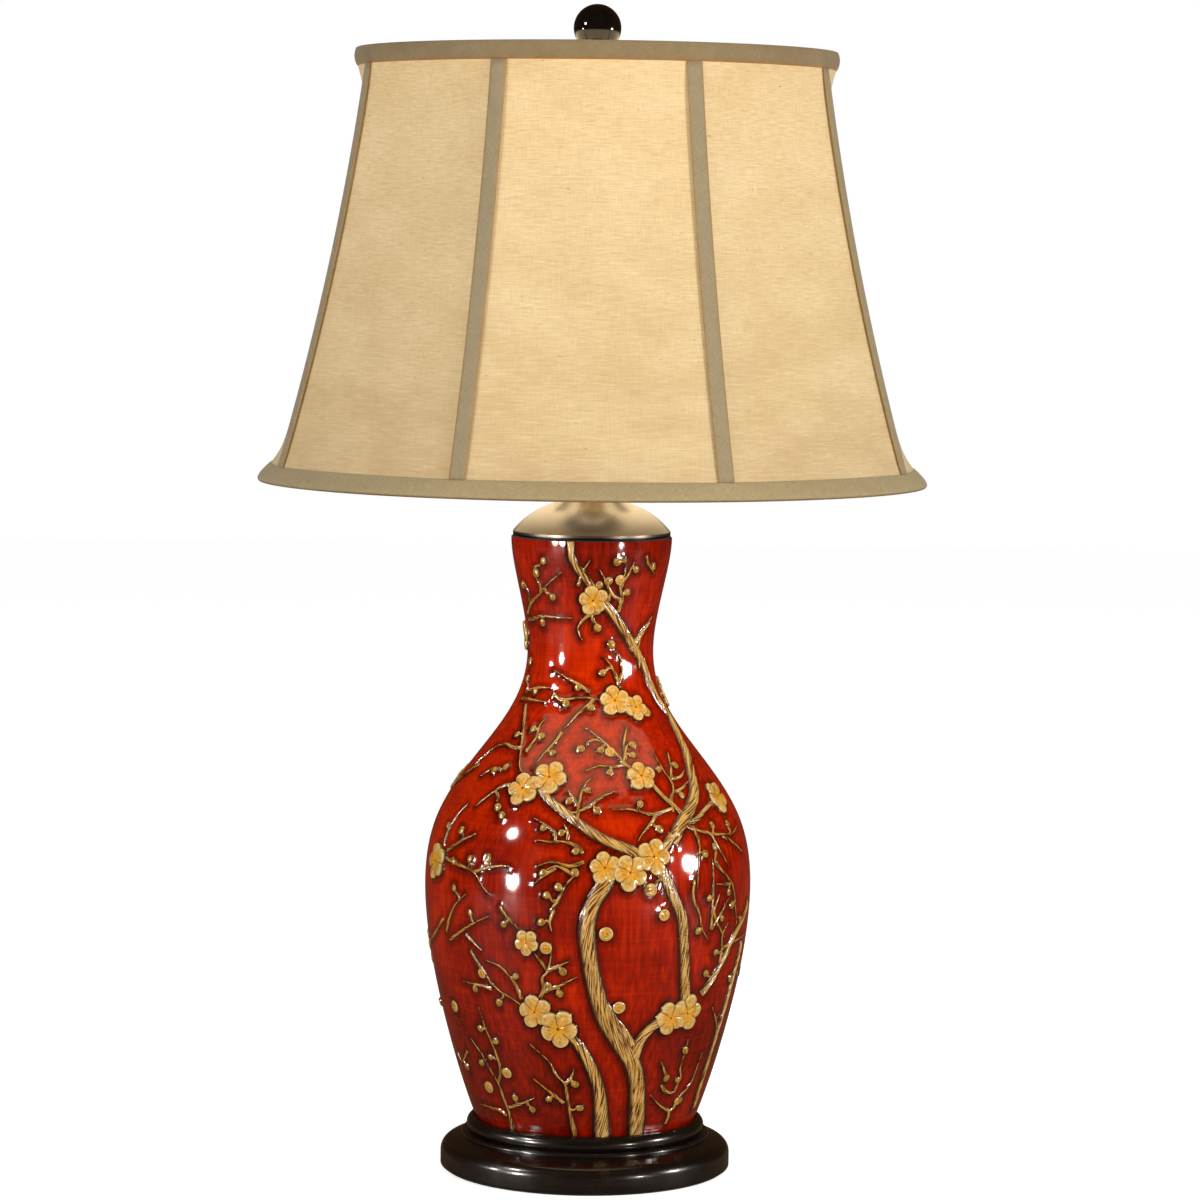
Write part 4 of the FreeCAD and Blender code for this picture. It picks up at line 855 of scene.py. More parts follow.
def vase_mesh():
    outer = [(point.x, point.y) for point in VASE_PROFILE[::PROFILE_SAMPLES // VASE_ROWS]]
    top = VASE_POLES[-1][1]
    inner = [(radius - VASE_WALL, level) for radius, level in reversed(outer[::4]) if VASE_FLOOR < level < top]
    outline = [(DRAIN_RADIUS, VASE_FLOOR), (DRAIN_RADIUS, 0.0)] + outer
    outline += [(VASE_POLES[-1][0] - VASE_WALL, top)] + inner
    outline += [(inner[-1][0], VASE_FLOOR), (DRAIN_RADIUS, VASE_FLOOR)]
    outline = [(radius, level + VASE_FOOT) for radius, level in outline]
    return lathe("vase_glazed", outline, GLAZE, VASE_STEPS, 40)


# Relief on the vase. The pixels are where each stroke and shape lies in the photograph, widths are in mm.

Bough = namedtuple("Bough", "width tip path")

BOUGHS = (
    Bough(11.0, 9.8, ((636, 1138), (637, 1108), (637, 1084), (633, 1064), (621, 1045), (604, 1016), (592, 972),
                      (587, 931), (592, 906), (603, 887), (612, 872))),
    Bough(5.0, 4.0, ((632, 1046), (626, 1034), (614.5, 1019), (606, 1004))),
    Bough(7.8, 7.0, ((634, 1058), (639, 1042), (650, 1028), (662, 1020))),
    Bough(8.0, 7.2, ((685, 1000), (685, 991), (684, 947), (682, 918), (675, 901), (666, 880), (660, 866))),
    Bough(9.0, 4.6, ((672, 842), (682, 823), (690, 809), (694, 791), (690, 769), (684, 748), (669, 717),
                     (657, 699), (643, 665), (632, 645), (616, 618), (605, 605), (590, 584), (573, 560),
                     (571, 540))),
    Bough(6.4, 6.0, ((652, 866), (662, 852), (672, 834))),
    Bough(3.6, 3.0, ((686, 818), (671, 804), (662, 796), (652, 785), (645, 780))),
    Bough(3.4, 2.6, ((688, 824), (697, 819), (704, 811), (712, 801))),
    Bough(7.0, 5.0, ((642, 862), (636, 853), (611, 843), (592, 833), (573, 819), (560, 808), (550, 800),
                     (540, 788))),
    Bough(9.6, 5.4, ((602, 1138), (601, 1106), (598.6, 1087), (591.6, 1068), (584, 1053), (575, 1041),
                     (560, 1030))),
    Bough(6.0, 4.0, ((701, 994), (712, 978), (722, 960), (733, 936), (742, 918), (747, 900))),
    Bough(4.6, 4.0, ((693, 1108), (700, 1084), (712, 1046), (726, 1000), (736, 962), (741, 940))),
    Bough(4.6, 3.0, ((630, 650), (640, 634), (649, 621))),
)

TWIG_WIDTH, TWIG_TIP = 2.6, 0.4
TWIGS = (
    # lower left
    ((471, 950), (484, 972), (497, 988), (516, 1001), (528, 1010)),
    ((463, 981), (481, 985), (492, 989)),
    ((486, 960), (500, 966), (510, 976), (516, 985), (522, 999)),
    ((540, 998), (544, 989), (542.5, 978), (548, 971), (551, 957), (551, 943)),
    ((548, 971), (542.5, 963), (534, 953)),
    ((548, 971), (557, 967), (571, 960)),
    ((544, 992), (556, 987), (565, 983), (577, 977)),
    ((513, 1132), (512.5, 1126), (509, 1110), (502, 1092), (499, 1083), (488, 1064), (481, 1052), (471, 1038)),
    ((499, 1083), (501, 1069), (497, 1055), (491, 1039), (486, 1028), (479, 1007)),
    ((509, 1107), (520, 1104), (534, 1098)),
    ((507, 1115), (500, 1110), (488, 1106), (481, 1104)),
    ((575, 1136), (574, 1130), (570, 1111), (567, 1093), (565, 1084), (555, 1073), (549, 1061), (530, 1044)),
    ((565, 1084), (571, 1078), (574, 1068)),
    ((564, 1103), (556, 1096), (544, 1087), (533, 1078)),
    ((458, 1052), (463, 1061), (468, 1051)),
    # middle of the belly
    ((577, 822), (579, 806), (584, 786), (594, 776)),
    ((591, 805), (602, 797), (615, 791)),
    ((577, 806), (574, 799), (568, 790)),
    ((562, 812), (577, 812), (591, 805)),
    ((585.5, 771), (599.5, 766), (614, 767), (624, 765), (636, 771)),
    ((624, 764), (616, 754), (607, 746), (598, 740)),
    ((624, 762), (626, 748), (630, 741)),
    ((673, 812), (671, 799), (673.5, 791), (671, 782), (665, 774), (659.5, 764), (653, 753)),
    ((671, 780), (670, 765), (667, 752)),
    ((672, 779), (680, 777), (684, 770)),
    ((675, 792), (682, 788), (688, 781)),
    ((612, 809), (617, 809.5), (631, 809.5), (644, 813), (656, 814), (673, 808)),
    ((657, 812), (652, 822), (643, 833), (638, 841)),
    # right of the belly
    ((684, 822), (690, 828), (700, 831), (713, 834), (723, 834), (732, 833), (737, 824)),
    ((722, 836), (732, 842), (742, 852)),
    ((692, 826), (695, 832), (699, 845), (698, 868), (697, 887)),
    ((706, 832), (712, 836), (717, 846), (724.5, 859), (728, 866)),
    ((716, 850), (715, 862), (724.5, 874), (732, 885), (735, 906), (736, 925)),
    ((716, 884), (731, 884)),
    ((712, 859), (713, 880), (712, 906), (710.5, 929)),
    ((719, 894), (713, 911)),
    ((728, 898), (718, 917), (710.5, 930)),
    ((694, 880), (693, 898), (699, 913.5), (702, 929), (708, 940)),
    ((712, 905), (716, 921), (724, 938)),
    ((719, 964), (721, 948), (722, 934), (728, 922)),
    ((721, 948), (734, 941), (744, 934)),
    ((735, 972), (745, 975), (746, 966)),
    # lower right
    ((665, 1124), (668, 1112), (659, 1105), (650, 1095)),
    ((668, 1112), (673, 1107), (677, 1099), (690, 1083), (697, 1066), (702, 1052)),
    ((661, 1062), (665, 1073), (668, 1078)),
    ((661, 1085), (665, 1091), (673, 1092), (677, 1084), (680, 1078), (680, 1066), (685, 1051), (688, 1039)),
    ((712, 1007), (715, 1018), (716, 1025), (715, 1039), (710, 1055)),
    ((715, 1018), (719, 1014)),
    # left of the belly
    ((444, 846), (450, 828), (457, 816), (468, 804)),
    ((447, 851), (460, 842), (476, 834)),
    ((447, 858), (458, 864), (474, 872), (484, 888), (492, 896)),
    ((474, 872), (490, 867), (507, 866), (514, 869)),
    ((447, 932), (450, 918), (456, 904), (466, 894)),
    ((450, 940), (466, 928), (480, 920), (490, 916)),
    ((466, 934), (474, 942), (482, 950)),
    ((429, 948), (436, 932), (444, 918)),
    ((476, 806), (486, 798), (494, 792), (506, 785), (516, 787)),
    ((500, 906), (508, 917), (518, 928)),
    ((552, 932), (550, 922), (554, 910)),
    ((546, 870), (556, 866), (566, 870), (575, 876)),
    ((534, 884), (546, 874), (556, 868)),
    ((578, 872), (570, 880), (562, 892), (556, 904), (550, 912)),
    ((538, 866), (552, 862), (570, 866), (584, 862)),
    ((583, 853), (576, 846), (566, 842), (552, 842), (538, 840)),
    ((556, 841), (554, 832), (544, 824), (534, 818)),
    ((568, 840), (568, 832), (564, 824)),
    # shoulder, left of the blossoms
    ((524, 776), (520, 766), (521, 752), (523, 736), (526, 704)),
    ((522, 748), (512, 747), (506, 744), (494, 748), (482, 758), (474, 766)),
    ((526, 752), (534, 742), (538, 734), (540, 726), (546, 718)),
    ((534, 768), (542, 756), (554, 744), (562, 732)),
    ((565, 728), (578, 714), (590, 704), (594, 698)),
    ((628, 767), (614, 754), (604, 742), (586, 728)),
    ((626, 760), (624, 742), (627, 726)),
    ((481, 776), (490, 770), (496, 768), (502, 770)),
    ((455, 784), (468, 772), (480, 764)),
    # neck
    ((606, 702), (590, 698), (576, 698), (562, 700), (554, 694)),
    ((590, 692), (578, 684), (564, 676), (554, 670)),
    ((526, 692), (536, 688), (552, 688)),
    ((522, 698), (534, 700), (546, 702)),
    ((529, 619), (536, 618), (542, 616), (554, 617), (572, 618)),
    ((528, 614), (532, 602), (540, 594), (548, 584), (562, 572)),
    ((541, 592), (540, 584), (534, 574)),
    ((530, 602), (528, 590), (523, 580)),
    ((620, 688), (616, 676), (610, 664), (602, 656)),
    ((618, 684), (622, 672), (620, 658), (614, 650)),
    ((618, 612), (622, 598), (620, 586), (625, 572), (626, 556)),
    ((620, 600), (612, 594), (606, 582), (600, 570)),
    ((620, 588), (628, 574), (634, 562)),
    ((654, 574), (648, 564), (646, 556)),
    ((600, 612), (588, 616), (578, 628), (582, 640)),
    ((590, 560), (583, 572), (578, 586)),
    ((652, 616), (644, 628), (638, 646), (640, 668)),
)

Blossom = namedtuple("Blossom", "column row radius spin")

BLOSSOMS = (
    Blossom(593, 600, 10.5, 10), Blossom(614, 701, 11.0, 5), Blossom(634, 708, 9.5, 40),
    Blossom(524, 789, 12.5, 20), Blossom(550, 778, 12.5, 50), Blossom(640, 777, 11.0, 0),
    Blossom(716, 797, 12.0, 30), Blossom(438, 861, 12.5, 15), Blossom(527, 942, 9.0, 33),
    Blossom(604.6, 867.6, 11.0, 8), Blossom(653, 857, 12.5, 52), Blossom(630, 872.7, 12.5, 26),
    Blossom(535, 1011, 12.0, 12), Blossom(558.5, 1028, 13.6, 44),
    Blossom(669, 1017, 12.0, 22), Blossom(686, 1012, 13.0, 60), Blossom(526, 636, 11.0, 0),
)

ROSETTES = ((606, 934, 4.8), (619, 1007.6, 4.3), (664, 915, 4.0), (651, 890, 4.4), (546, 948, 4.2),
            (455, 1006, 4.0), (489.5, 1087, 4.2), (507, 1073, 3.8), (677, 1101, 3.0), (482.5, 973, 3.6),
            (620, 580, 3.6), (610, 752, 3.6), (646, 712, 3.4))

BUDS = (
    (500, 1001), (475.5, 987), (515, 977), (562, 970), (559, 992), (549.5, 987), (482, 1028), (495, 1041),
    (492, 1057), (483, 1062), (516, 1099), (532, 1108), (573.5, 1083), (578, 1108), (550, 1098),
    (467, 1065), (571, 800), (586, 790), (596, 809), (601.5, 749), (610, 771), (631, 744), (631, 755),
    (659, 769), (673, 765), (680.5, 794), (640, 805), (658, 828), (712, 827), (727, 825), (703.5, 853.5),
    (715, 848), (728, 890.5), (732, 904), (710, 898), (721, 917), (699, 930), (649, 889),
    (449, 826), (462, 832), (454, 862), (470, 860), (489, 860), (455, 889), (471, 914), (439, 1000),
    (505, 768), (495, 770), (498, 806), (502, 814), (519, 734), (540, 736), (535, 729), (552, 752),
    (544, 872), (545, 826), (563, 832), (560, 888), (548, 896), (577, 850), (576, 874), (543, 922),
    (505, 923), (582, 748), (590, 706), (579, 686), (566, 702), (528, 680), (536, 690), (531, 663),
    (543, 621), (552, 596), (536, 574), (524, 584), (543, 562), (597, 626), (598, 586),
    (608, 598), (607, 582), (625, 593), (635, 569), (619, 562), (652, 568), (604, 672), (612, 646),
    (667, 1077), (678, 1080), (685, 1051), (679, 1099), (740, 920), (730, 978), (706, 974), (716, 952),
)


def lay_strokes(strokes, name, knot):
    """A curve object with one spline for each stroke: (points on the vase, half width, half tip), in metres.
    Every other point is wider by the knot's share."""
    data = bpy.data.curves.new(name, "CURVE")
    data.dimensions = "3D"
    for points, half, tip in strokes:
        spline = data.splines.new("POLY")
        spline.points.add(len(points) - 1)
        lengths = [0.0]
        for before, after in zip(points, points[1:]):
            lengths.append(lengths[-1] + (after - before).length)
        for order, (spot, point, length) in enumerate(zip(spline.points, points, lengths)):
            spot.co = (*point, 1.0)
            spot.radius = (half + (tip - half) * length / lengths[-1]) * (1 + knot * (order % 2))
    return new_object(name, data)


def new_tree(name, sockets):
    """An empty geometry tree with named inputs. Returns its nodes, the inputs' outputs and the group output."""
    tree = bpy.data.node_groups.new(name, "GeometryNodeTree")
    tree.interface.new_socket("Geometry", in_out="OUTPUT", socket_type="NodeSocketGeometry")
    tree.interface.new_socket("Geometry", in_out="INPUT", socket_type="NodeSocketGeometry")
    for socket, kind in sockets.items():
        tree.interface.new_socket(socket, in_out="INPUT", socket_type=f"NodeSocket{kind}")
    nodes = Nodes(tree)
    given = tree.nodes.new("NodeGroupInput").outputs
    result = tree.nodes.new("NodeGroupOutput").inputs["Geometry"]
    return nodes, given, result


def run_tree(name, nodes, values, source=None):
    """A plain mesh of what the tree makes from the source mesh and the named values."""
    holder = new_object(name, source or bpy.data.meshes.new(name))
    modifier = holder.modifiers.new(name, "NODES")
    modifier.node_group = nodes.tree
    for item in nodes.tree.interface.items_tree:
        if item.in_out == "INPUT" and item.name in values:
            modifier[item.identifier] = values[item.name]
    bpy.context.view_layer.update()
    scene_now = bpy.context.evaluated_depsgraph_get()
    made = bpy.data.meshes.new_from_object(holder.evaluated_get(scene_now), preserve_all_data_layers=True,
                                           depsgraph=scene_now)
    made.name = name
    holder.modifiers.remove(modifier)
    bpy.data.objects.remove(holder)
    return made


def seated(nodes, surface, place):
    """The nearest place on the surface, and the direction out of it there."""
    near = nodes.add("GeometryNodeProximity", {"Geometry": surface, "Source Position": place},
                     target_element="FACES")
    out = nodes.add("GeometryNodeSampleNearestSurface",
                    {"Mesh": surface, "Value": nodes.add("GeometryNodeInputNormal"), "Sample Position": place},
                    data_type="FLOAT_VECTOR")
    return near, out


def kept(nodes, geometry, name, value, kind="FLOAT"):
    return nodes.add("GeometryNodeStoreNamedAttribute", {"Geometry": geometry, "Name": name, "Value": value},
                     data_type=kind, domain="POINT")


STROKE_APART = 0.37
STROKE_ROUND = 2.4
FULL_RISE_HALF, RISE_GROWTH = 5.0, 0.45


def stroke_tree():
    """Carved ribbons that follow the strokes on the vase: a round back, cut by grain, in a thin dark skirt."""
    nodes, given, result = new_tree("carved_strokes", {
        "Strokes": "Object", "Vase": "Object", "Steps along": "Int", "Steps across": "Int", "Rise": "Float",
        "Skirt": "Float", "Grain depth": "Float", "Finish": "Material"})
    drawn = nodes.add("GeometryNodeObjectInfo", {"Object": given["Strokes"]}, "Geometry")
    surface = nodes.add("GeometryNodeObjectInfo", {"Object": given["Vase"]}, "Geometry")
    soft = nodes.add("GeometryNodeCurveSplineType", {"Curve": drawn}, spline_type="CATMULL_ROM")
    curves = nodes.add("GeometryNodeSetSplineResolution", {"Geometry": soft, "Resolution": 8})
    count = nodes.add("GeometryNodeAttributeDomainSize", {"Geometry": drawn}, "Spline Count",
                      component="CURVE")
    spots = nodes.add("GeometryNodePoints", {"Count": count})
    numbered = kept(nodes, spots, "stroke", nodes.add("GeometryNodeInputIndex"), "INT")
    strip = nodes.add("GeometryNodeMeshGrid", {
        "Size X": 1.0, "Size Y": 2.0, "Vertices X": given["Steps along"], "Vertices Y": given["Steps across"]})
    sheets = nodes.add("GeometryNodeRealizeInstances", {
        "Geometry": nodes.add("GeometryNodeInstanceOnPoints", {"Points": numbered, "Instance": strip})})
    stroke = nodes.add("GeometryNodeInputNamedAttribute", {"Name": "stroke"}, data_type="INT")
    grid = nodes.split(nodes.add("GeometryNodeInputPosition"))
    along = nodes.math("ADD", grid["X"], 0.5)
    spline = nodes.add("GeometryNodeSampleCurve", {
        "Curves": curves, "Value": nodes.add("GeometryNodeInputRadius"), "Factor": along, "Curve Index": stroke,
    }, mode="FACTOR").node.outputs
    half, middle, ahead = spline["Value"], spline["Position"], spline["Tangent"]
    ground, out = seated(nodes, surface, middle)
    across = nodes.vector("NORMALIZE", nodes.vector("CROSS_PRODUCT", out, ahead))
    side = nodes.math("MULTIPLY", grid["Y"], nodes.math("ADD", half, given["Skirt"]))
    spread = nodes.vector("ADD", middle, nodes.times(across, side))
    ground, out = seated(nodes, surface, spread)
    edge = nodes.math("DIVIDE", nodes.math("ABSOLUTE", side), half)
    length = nodes.math("MULTIPLY", along, nodes.add("GeometryNodeSampleCurve", {
        "Curves": curves, "Value": nodes.add("GeometryNodeSplineLength"), "Factor": along,
        "Curve Index": stroke}, mode="FACTOR"))
    apart = nodes.math("MULTIPLY", stroke, STROKE_APART)
    grain = nodes.join(length, side, apart)
    carved = groove(nodes, length, side, apart)
    round_back = nodes.math("SQRT", nodes.math("MAXIMUM", 0.0, nodes.math(
        "SUBTRACT", 1.0, nodes.math("POWER", edge, STROKE_ROUND))))
    rise = nodes.math("MULTIPLY", given["Rise"], nodes.math(
        "POWER", nodes.math("DIVIDE", half, FULL_RISE_HALF * MM), RISE_GROWTH))
    cut = nodes.math("MULTIPLY", given["Grain depth"], nodes.span(carved, 0.56, 0.40))
    ends = nodes.math("MULTIPLY", nodes.span(along, 0.0, 0.02), nodes.span(along, 1.0, 0.97))
    back = nodes.math("MULTIPLY", nodes.math("SUBTRACT", nodes.math("MULTIPLY", rise, round_back), cut),
                      nodes.span(edge, 1.0, 0.86))
    lift = nodes.math("ADD", nodes.math("MULTIPLY", back, ends), nodes.span(edge, 1.0, 1.3, 0.0001, -0.0002))
    placed = nodes.add("GeometryNodeSetPosition", {
        "Geometry": kept(nodes, kept(nodes, sheets, "edge", edge), "grain", grain, "FLOAT_VECTOR"),
        "Position": nodes.vector("ADD", ground, nodes.times(out, lift))})
    smoothed = nodes.add("GeometryNodeSetShadeSmooth", {"Geometry": placed})
    coloured = nodes.add("GeometryNodeSetMaterial", {"Geometry": smoothed, "Material": given["Finish"]})
    nodes.give(result, coloured)
    return nodes


def shape_tree():
    """Small relief shapes laid on the vase: the shape's own lift is kept, its plan follows the surface."""
    nodes, given, result = new_tree("laid_shapes", {"Shape": "Object", "Vase": "Object", "Finish": "Material"})
    shape = nodes.add("GeometryNodeObjectInfo", {"Object": given["Shape"]}, "Geometry")
    surface = nodes.add("GeometryNodeObjectInfo", {"Object": given["Vase"]}, "Geometry")

    def read(name, kind="FLOAT_VECTOR"):
        return nodes.add("GeometryNodeInputNamedAttribute", {"Name": name}, data_type=kind)

    turn = nodes.add("FunctionNodeAxesToRotation", {
        "Primary Axis": read("out"), "Secondary Axis": read("lead")}, primary_axis="Z", secondary_axis="X")
    placed = nodes.add("GeometryNodeInstanceOnPoints", {
        "Points": given["Geometry"], "Instance": shape, "Rotation": turn, "Scale": read("size")})
    real = nodes.add("GeometryNodeRealizeInstances", {"Geometry": placed})
    ground, out = seated(nodes, surface, nodes.add("GeometryNodeInputPosition"))
    size = nodes.split(read("size"))["X"]
    over = nodes.math("MULTIPLY", read("over", "FLOAT"), nodes.span(read("lift", "FLOAT"), 0.0, 0.05))
    lift = nodes.math("ADD", nodes.math("MULTIPLY", read("lift", "FLOAT"), size), over)
    seated_shapes = nodes.add("GeometryNodeSetPosition", {
        "Geometry": real, "Position": nodes.vector("ADD", ground, nodes.times(out, lift))})
    smoothed = nodes.add("GeometryNodeSetShadeSmooth", {"Geometry": seated_shapes})
    coloured = nodes.add("GeometryNodeSetMaterial", {"Geometry": smoothed, "Material": given["Finish"]})
    nodes.give(result, coloured)
    return nodes


def polar_shape(name, rings, spokes, reach, lift, seam):
    """Flat disc mesh, unit size, with its lift, place and seam kept as attributes. reach is its outline."""
    points = [(0.0, 0.0, 0.0)]
    lifts = [lift(0.0, 0.0)]
    places = [(0.0, 0.0, 0.0)]
    seams = [seam(0.0, 0.0)]
    for ring in rings:
        for spoke in range(spokes):
            turn = math.tau * spoke / spokes
            far = ring * reach(turn)
            points.append((far * math.cos(turn), far * math.sin(turn), 0.0))
            lifts.append(lift(ring, turn))
            places.append((points[-1][0], points[-1][1], ring))
            seams.append(seam(ring, turn))
    faces = [(0, 1 + spoke, 1 + (spoke + 1) % spokes) for spoke in range(spokes)]
    for ring in range(len(rings) - 1):
        inner, outer = 1 + ring * spokes, 1 + (ring + 1) * spokes
        for spoke in range(spokes):
            after = (spoke + 1) % spokes
            faces.append((inner + spoke, outer + spoke, outer + after, inner + after))
    mesh = bpy.data.meshes.new(name)
    mesh.from_pydata(points, [], faces)
    mesh.attributes.new("lift", "FLOAT", "POINT").data.foreach_set("value", lifts)
    mesh.attributes.new("seam", "FLOAT", "POINT").data.foreach_set("value", seams)
    mesh.attributes.new("petal", "FLOAT_VECTOR", "POINT").data.foreach_set(
        "vector", [part for place in places for part in place])
    return new_object(name, mesh)


PETALS_EACH = 5
PETAL_CENTRE, PETAL_RADIUS = 0.56, 0.44
PETAL_SIZES = (1.0, 0.92, 1.04, 0.96, 1.03)
PETAL_OVERLAP, OVERLAP_FROM = 0.03, 0.4
PETAL_THICKNESS, PETAL_CROWN, CROWN_LENGTHWAYS, PETAL_WALL = 0.085, 0.085, 0.35, 0.03
PETAL_SKIRT_LIFT, PETAL_SKIRT_FOOT, PETAL_SKIRT_MIDDLE = 0.008, -0.012, 1.05
SEAM_WIDTH, SEAM_DEPTH, SEAM_FROM = 0.04, 0.02, 0.3
CUP_DEPTH, CUP_WIDTH = 0.045, 0.24
BUTTON_HEIGHT, BUTTON_WIDTH = 0.05, 0.07
PETAL_SPOKES = 60
PETAL_RINGS = (0.06, 0.13, 0.22, 0.34, 0.46, 0.58, 0.70, 0.80, 0.88, 0.94, 0.985, 1.0, 1.06, 1.10)


def petal_turn(turn):
    """Angle from the middle of the petal that the direction falls in."""
    each = math.tau / PETALS_EACH
    return (turn + each / 2) % each - each / 2


def petal_reach(turn):
    off = petal_turn(turn)
    size = PETAL_SIZES[round(turn / (math.tau / PETALS_EACH)) % PETALS_EACH]
    whole = PETAL_CENTRE * math.cos(off) + math.sqrt(PETAL_RADIUS ** 2 - (PETAL_CENTRE * math.sin(off)) ** 2)
    return whole * (1 + (size - 1) * math.cos(off * PETALS_EACH / 2))


def petal_seam(ring, turn):
    """How far into the crease between two petals a point lies."""
    off = abs(abs(petal_turn(turn)) - math.pi / PETALS_EACH)
    return max(0.0, 1 - off * ring / SEAM_WIDTH) * min(1.0, max(0.0, (ring - SEAM_FROM) / SEAM_FROM))


def petal_lift(ring, turn):
    if ring >= 1.0:
        return PETAL_SKIRT_LIFT if ring < PETAL_SKIRT_MIDDLE else PETAL_SKIRT_FOOT
    far = ring * petal_reach(turn)
    off = petal_turn(turn)
    across = far * math.sin(off) / PETAL_RADIUS
    along = (far * math.cos(off) - PETAL_CENTRE) / PETAL_RADIUS
    crown = PETAL_CROWN * math.sqrt(max(0.0, 1 - across * across - CROWN_LENGTHWAYS * along * along))
    cup = CUP_DEPTH * math.exp(-(far / CUP_WIDTH) ** 2)
    button = BUTTON_HEIGHT * math.exp(-(far / BUTTON_WIDTH) ** 2)
    wall = min(1.0, (1.0 - ring) / PETAL_WALL)
    over = PETAL_OVERLAP * off / (math.pi / PETALS_EACH) * min(1.0, ring / OVERLAP_FROM)
    return (PETAL_THICKNESS + crown + over - SEAM_DEPTH * petal_seam(ring, turn) - cup + button) * wall


BUD_RINGS, BUD_SPOKES = (0.35, 0.65, 0.88, 1.0, 1.14, 1.2), 14
ROSETTE_RINGS, ROSETTE_SPOKES = (0.2, 0.35, 0.5, 0.65, 0.8, 0.92, 1.0, 1.12, 1.18), 22
SKIRT_LIFT, SKIRT_FOOT, SKIRT_MIDDLE = 0.02, -0.05, 1.1
BUD_WIDTH, BUD_PEAR, BUD_LONG, BUD_CROWN = 0.66, 0.26, 0.08, 0.34
CURL_LAPS, CURL_WIDTH, CURL_FROM, CURL_TO = 2.2, 0.2, 0.15, 0.9
ROSETTE_CROWN, ROSETTE_ROUND, CURL_DEPTH, ROSETTE_SPIN = 0.30, 0.8, 0.10, 7


def skirt(ring):
    """Lift of the thin dark skirt round a bud or rosette."""
    return SKIRT_LIFT if ring < SKIRT_MIDDLE else SKIRT_FOOT


def bud_reach(turn):
    """Pear outline: round toward the lead, narrow toward the stalk."""
    return BUD_WIDTH + BUD_PEAR * math.cos(turn) + BUD_LONG * math.cos(2 * turn)


def bud_lift(ring, turn):
    if ring >= 1.0:
        return skirt(ring)
    return BUD_CROWN * math.sqrt(1 - ring * ring) + SKIRT_LIFT


def curl(ring, turn):
    """A spiral groove, as on a rosette that is still rolled up."""
    lap = (ring * CURL_LAPS + turn / math.tau) % 1.0
    return max(0.0, 1 - abs(lap - 0.5) / CURL_WIDTH) if CURL_FROM < ring < CURL_TO else 0.0


def rosette_lift(ring, turn):
    if ring >= 1.0:
        return skirt(ring)
    return ROSETTE_CROWN * math.sqrt(1 - ROSETTE_ROUND * ring * ring) - CURL_DEPTH * curl(ring, turn)


def spots_mesh(name, spots):
    """Points of a mesh that carry where each shape lies: (point, lead, size, over)."""
    mesh = bpy.data.meshes.new(name)
    points, leads, sizes, overs = zip(*spots)
    mesh.from_pydata(points, [], [])
    for attribute, values in (("out", [outward(point) for point in points]), ("lead", leads),
                              ("size", [(size, size, size) for size in sizes])):
        mesh.attributes.new(attribute, "FLOAT_VECTOR", "POINT").data.foreach_set(
            "vector", [part for value in values for part in value])
    mesh.attributes.new("over", "FLOAT", "POINT").data.foreach_set("value", overs)
    return mesh


def spun(point, degrees):
    """A direction along the surface, turned from straight up by so many degrees."""
    facing = outward(point)
    upward = (UP - facing * facing.dot(UP)).normalized()
    return Matrix.Rotation(math.radians(degrees), 3, facing) @ upward


# Growth round the back, where the photograph doesn't show: same kinds of stroke, by a seeded rule.
# A bough has its place round the vase in degrees, its width in mm and its lean in degrees. A growth has the
# fewest and most strides, the stride in mm and the most that it turns at each.

Growth = namedtuple("Growth", "strides stride bend")

BACK_SEED = 41
BACK_BOUGHS = ((112, 9.0, 3), (146, 10.0, 5), (180, 11.0, -4), (214, 8.6, 4), (246, 9.4, -4))
BACK_TIP = 4.0
TRUNK = Growth((19, 27), 13.0, 0.42)
FORK = Growth((5, 8), 9.0, 0.35)
SPRIG = Growth((4, 7), 7.0, 0.4)
BACK_FROM = math.radians(97)
GROWTH_LOW, GROWTH_HIGH = 40, 426
STRAIGHTENING = 0.22
BRANCHING = (0.6, 1.1)
FORK_SHARE, FORK_WIDTH, FORK_TIP = 0.35, 4.0, 2.4
BACK_BUD_SHARE, BACK_BUD_LEAN, BACK_BUD_OUT, BACK_BUD_SIZE = 0.75, 1.2, 3.6, 3.9
BACK_BLOSSOM, FORK_BLOSSOMS = 11.5, (10.5, 13)


def walk(turn, level, heading, growth, chance):
    """Points on the vase from a place, a stride apart, with the heading wandering round its first way."""
    lean = heading
    points = []
    places = []
    for step in range(chance.randint(*growth.strides)):
        radius = vase_radius(level)
        points.append(on_surface(turn, level))
        places.append((turn, level, heading))
        turn += math.sin(heading) * growth.stride * MM / radius
        level += math.cos(heading) * growth.stride * MM
        off_front = abs((turn - FRONT + math.pi) % math.tau - math.pi)
        if not GROWTH_LOW * MM < level < GROWTH_HIGH * MM or off_front < BACK_FROM:
            break
        heading += chance.uniform(-growth.bend, growth.bend)
        heading -= STRAIGHTENING * (heading - lean)
    return points, places


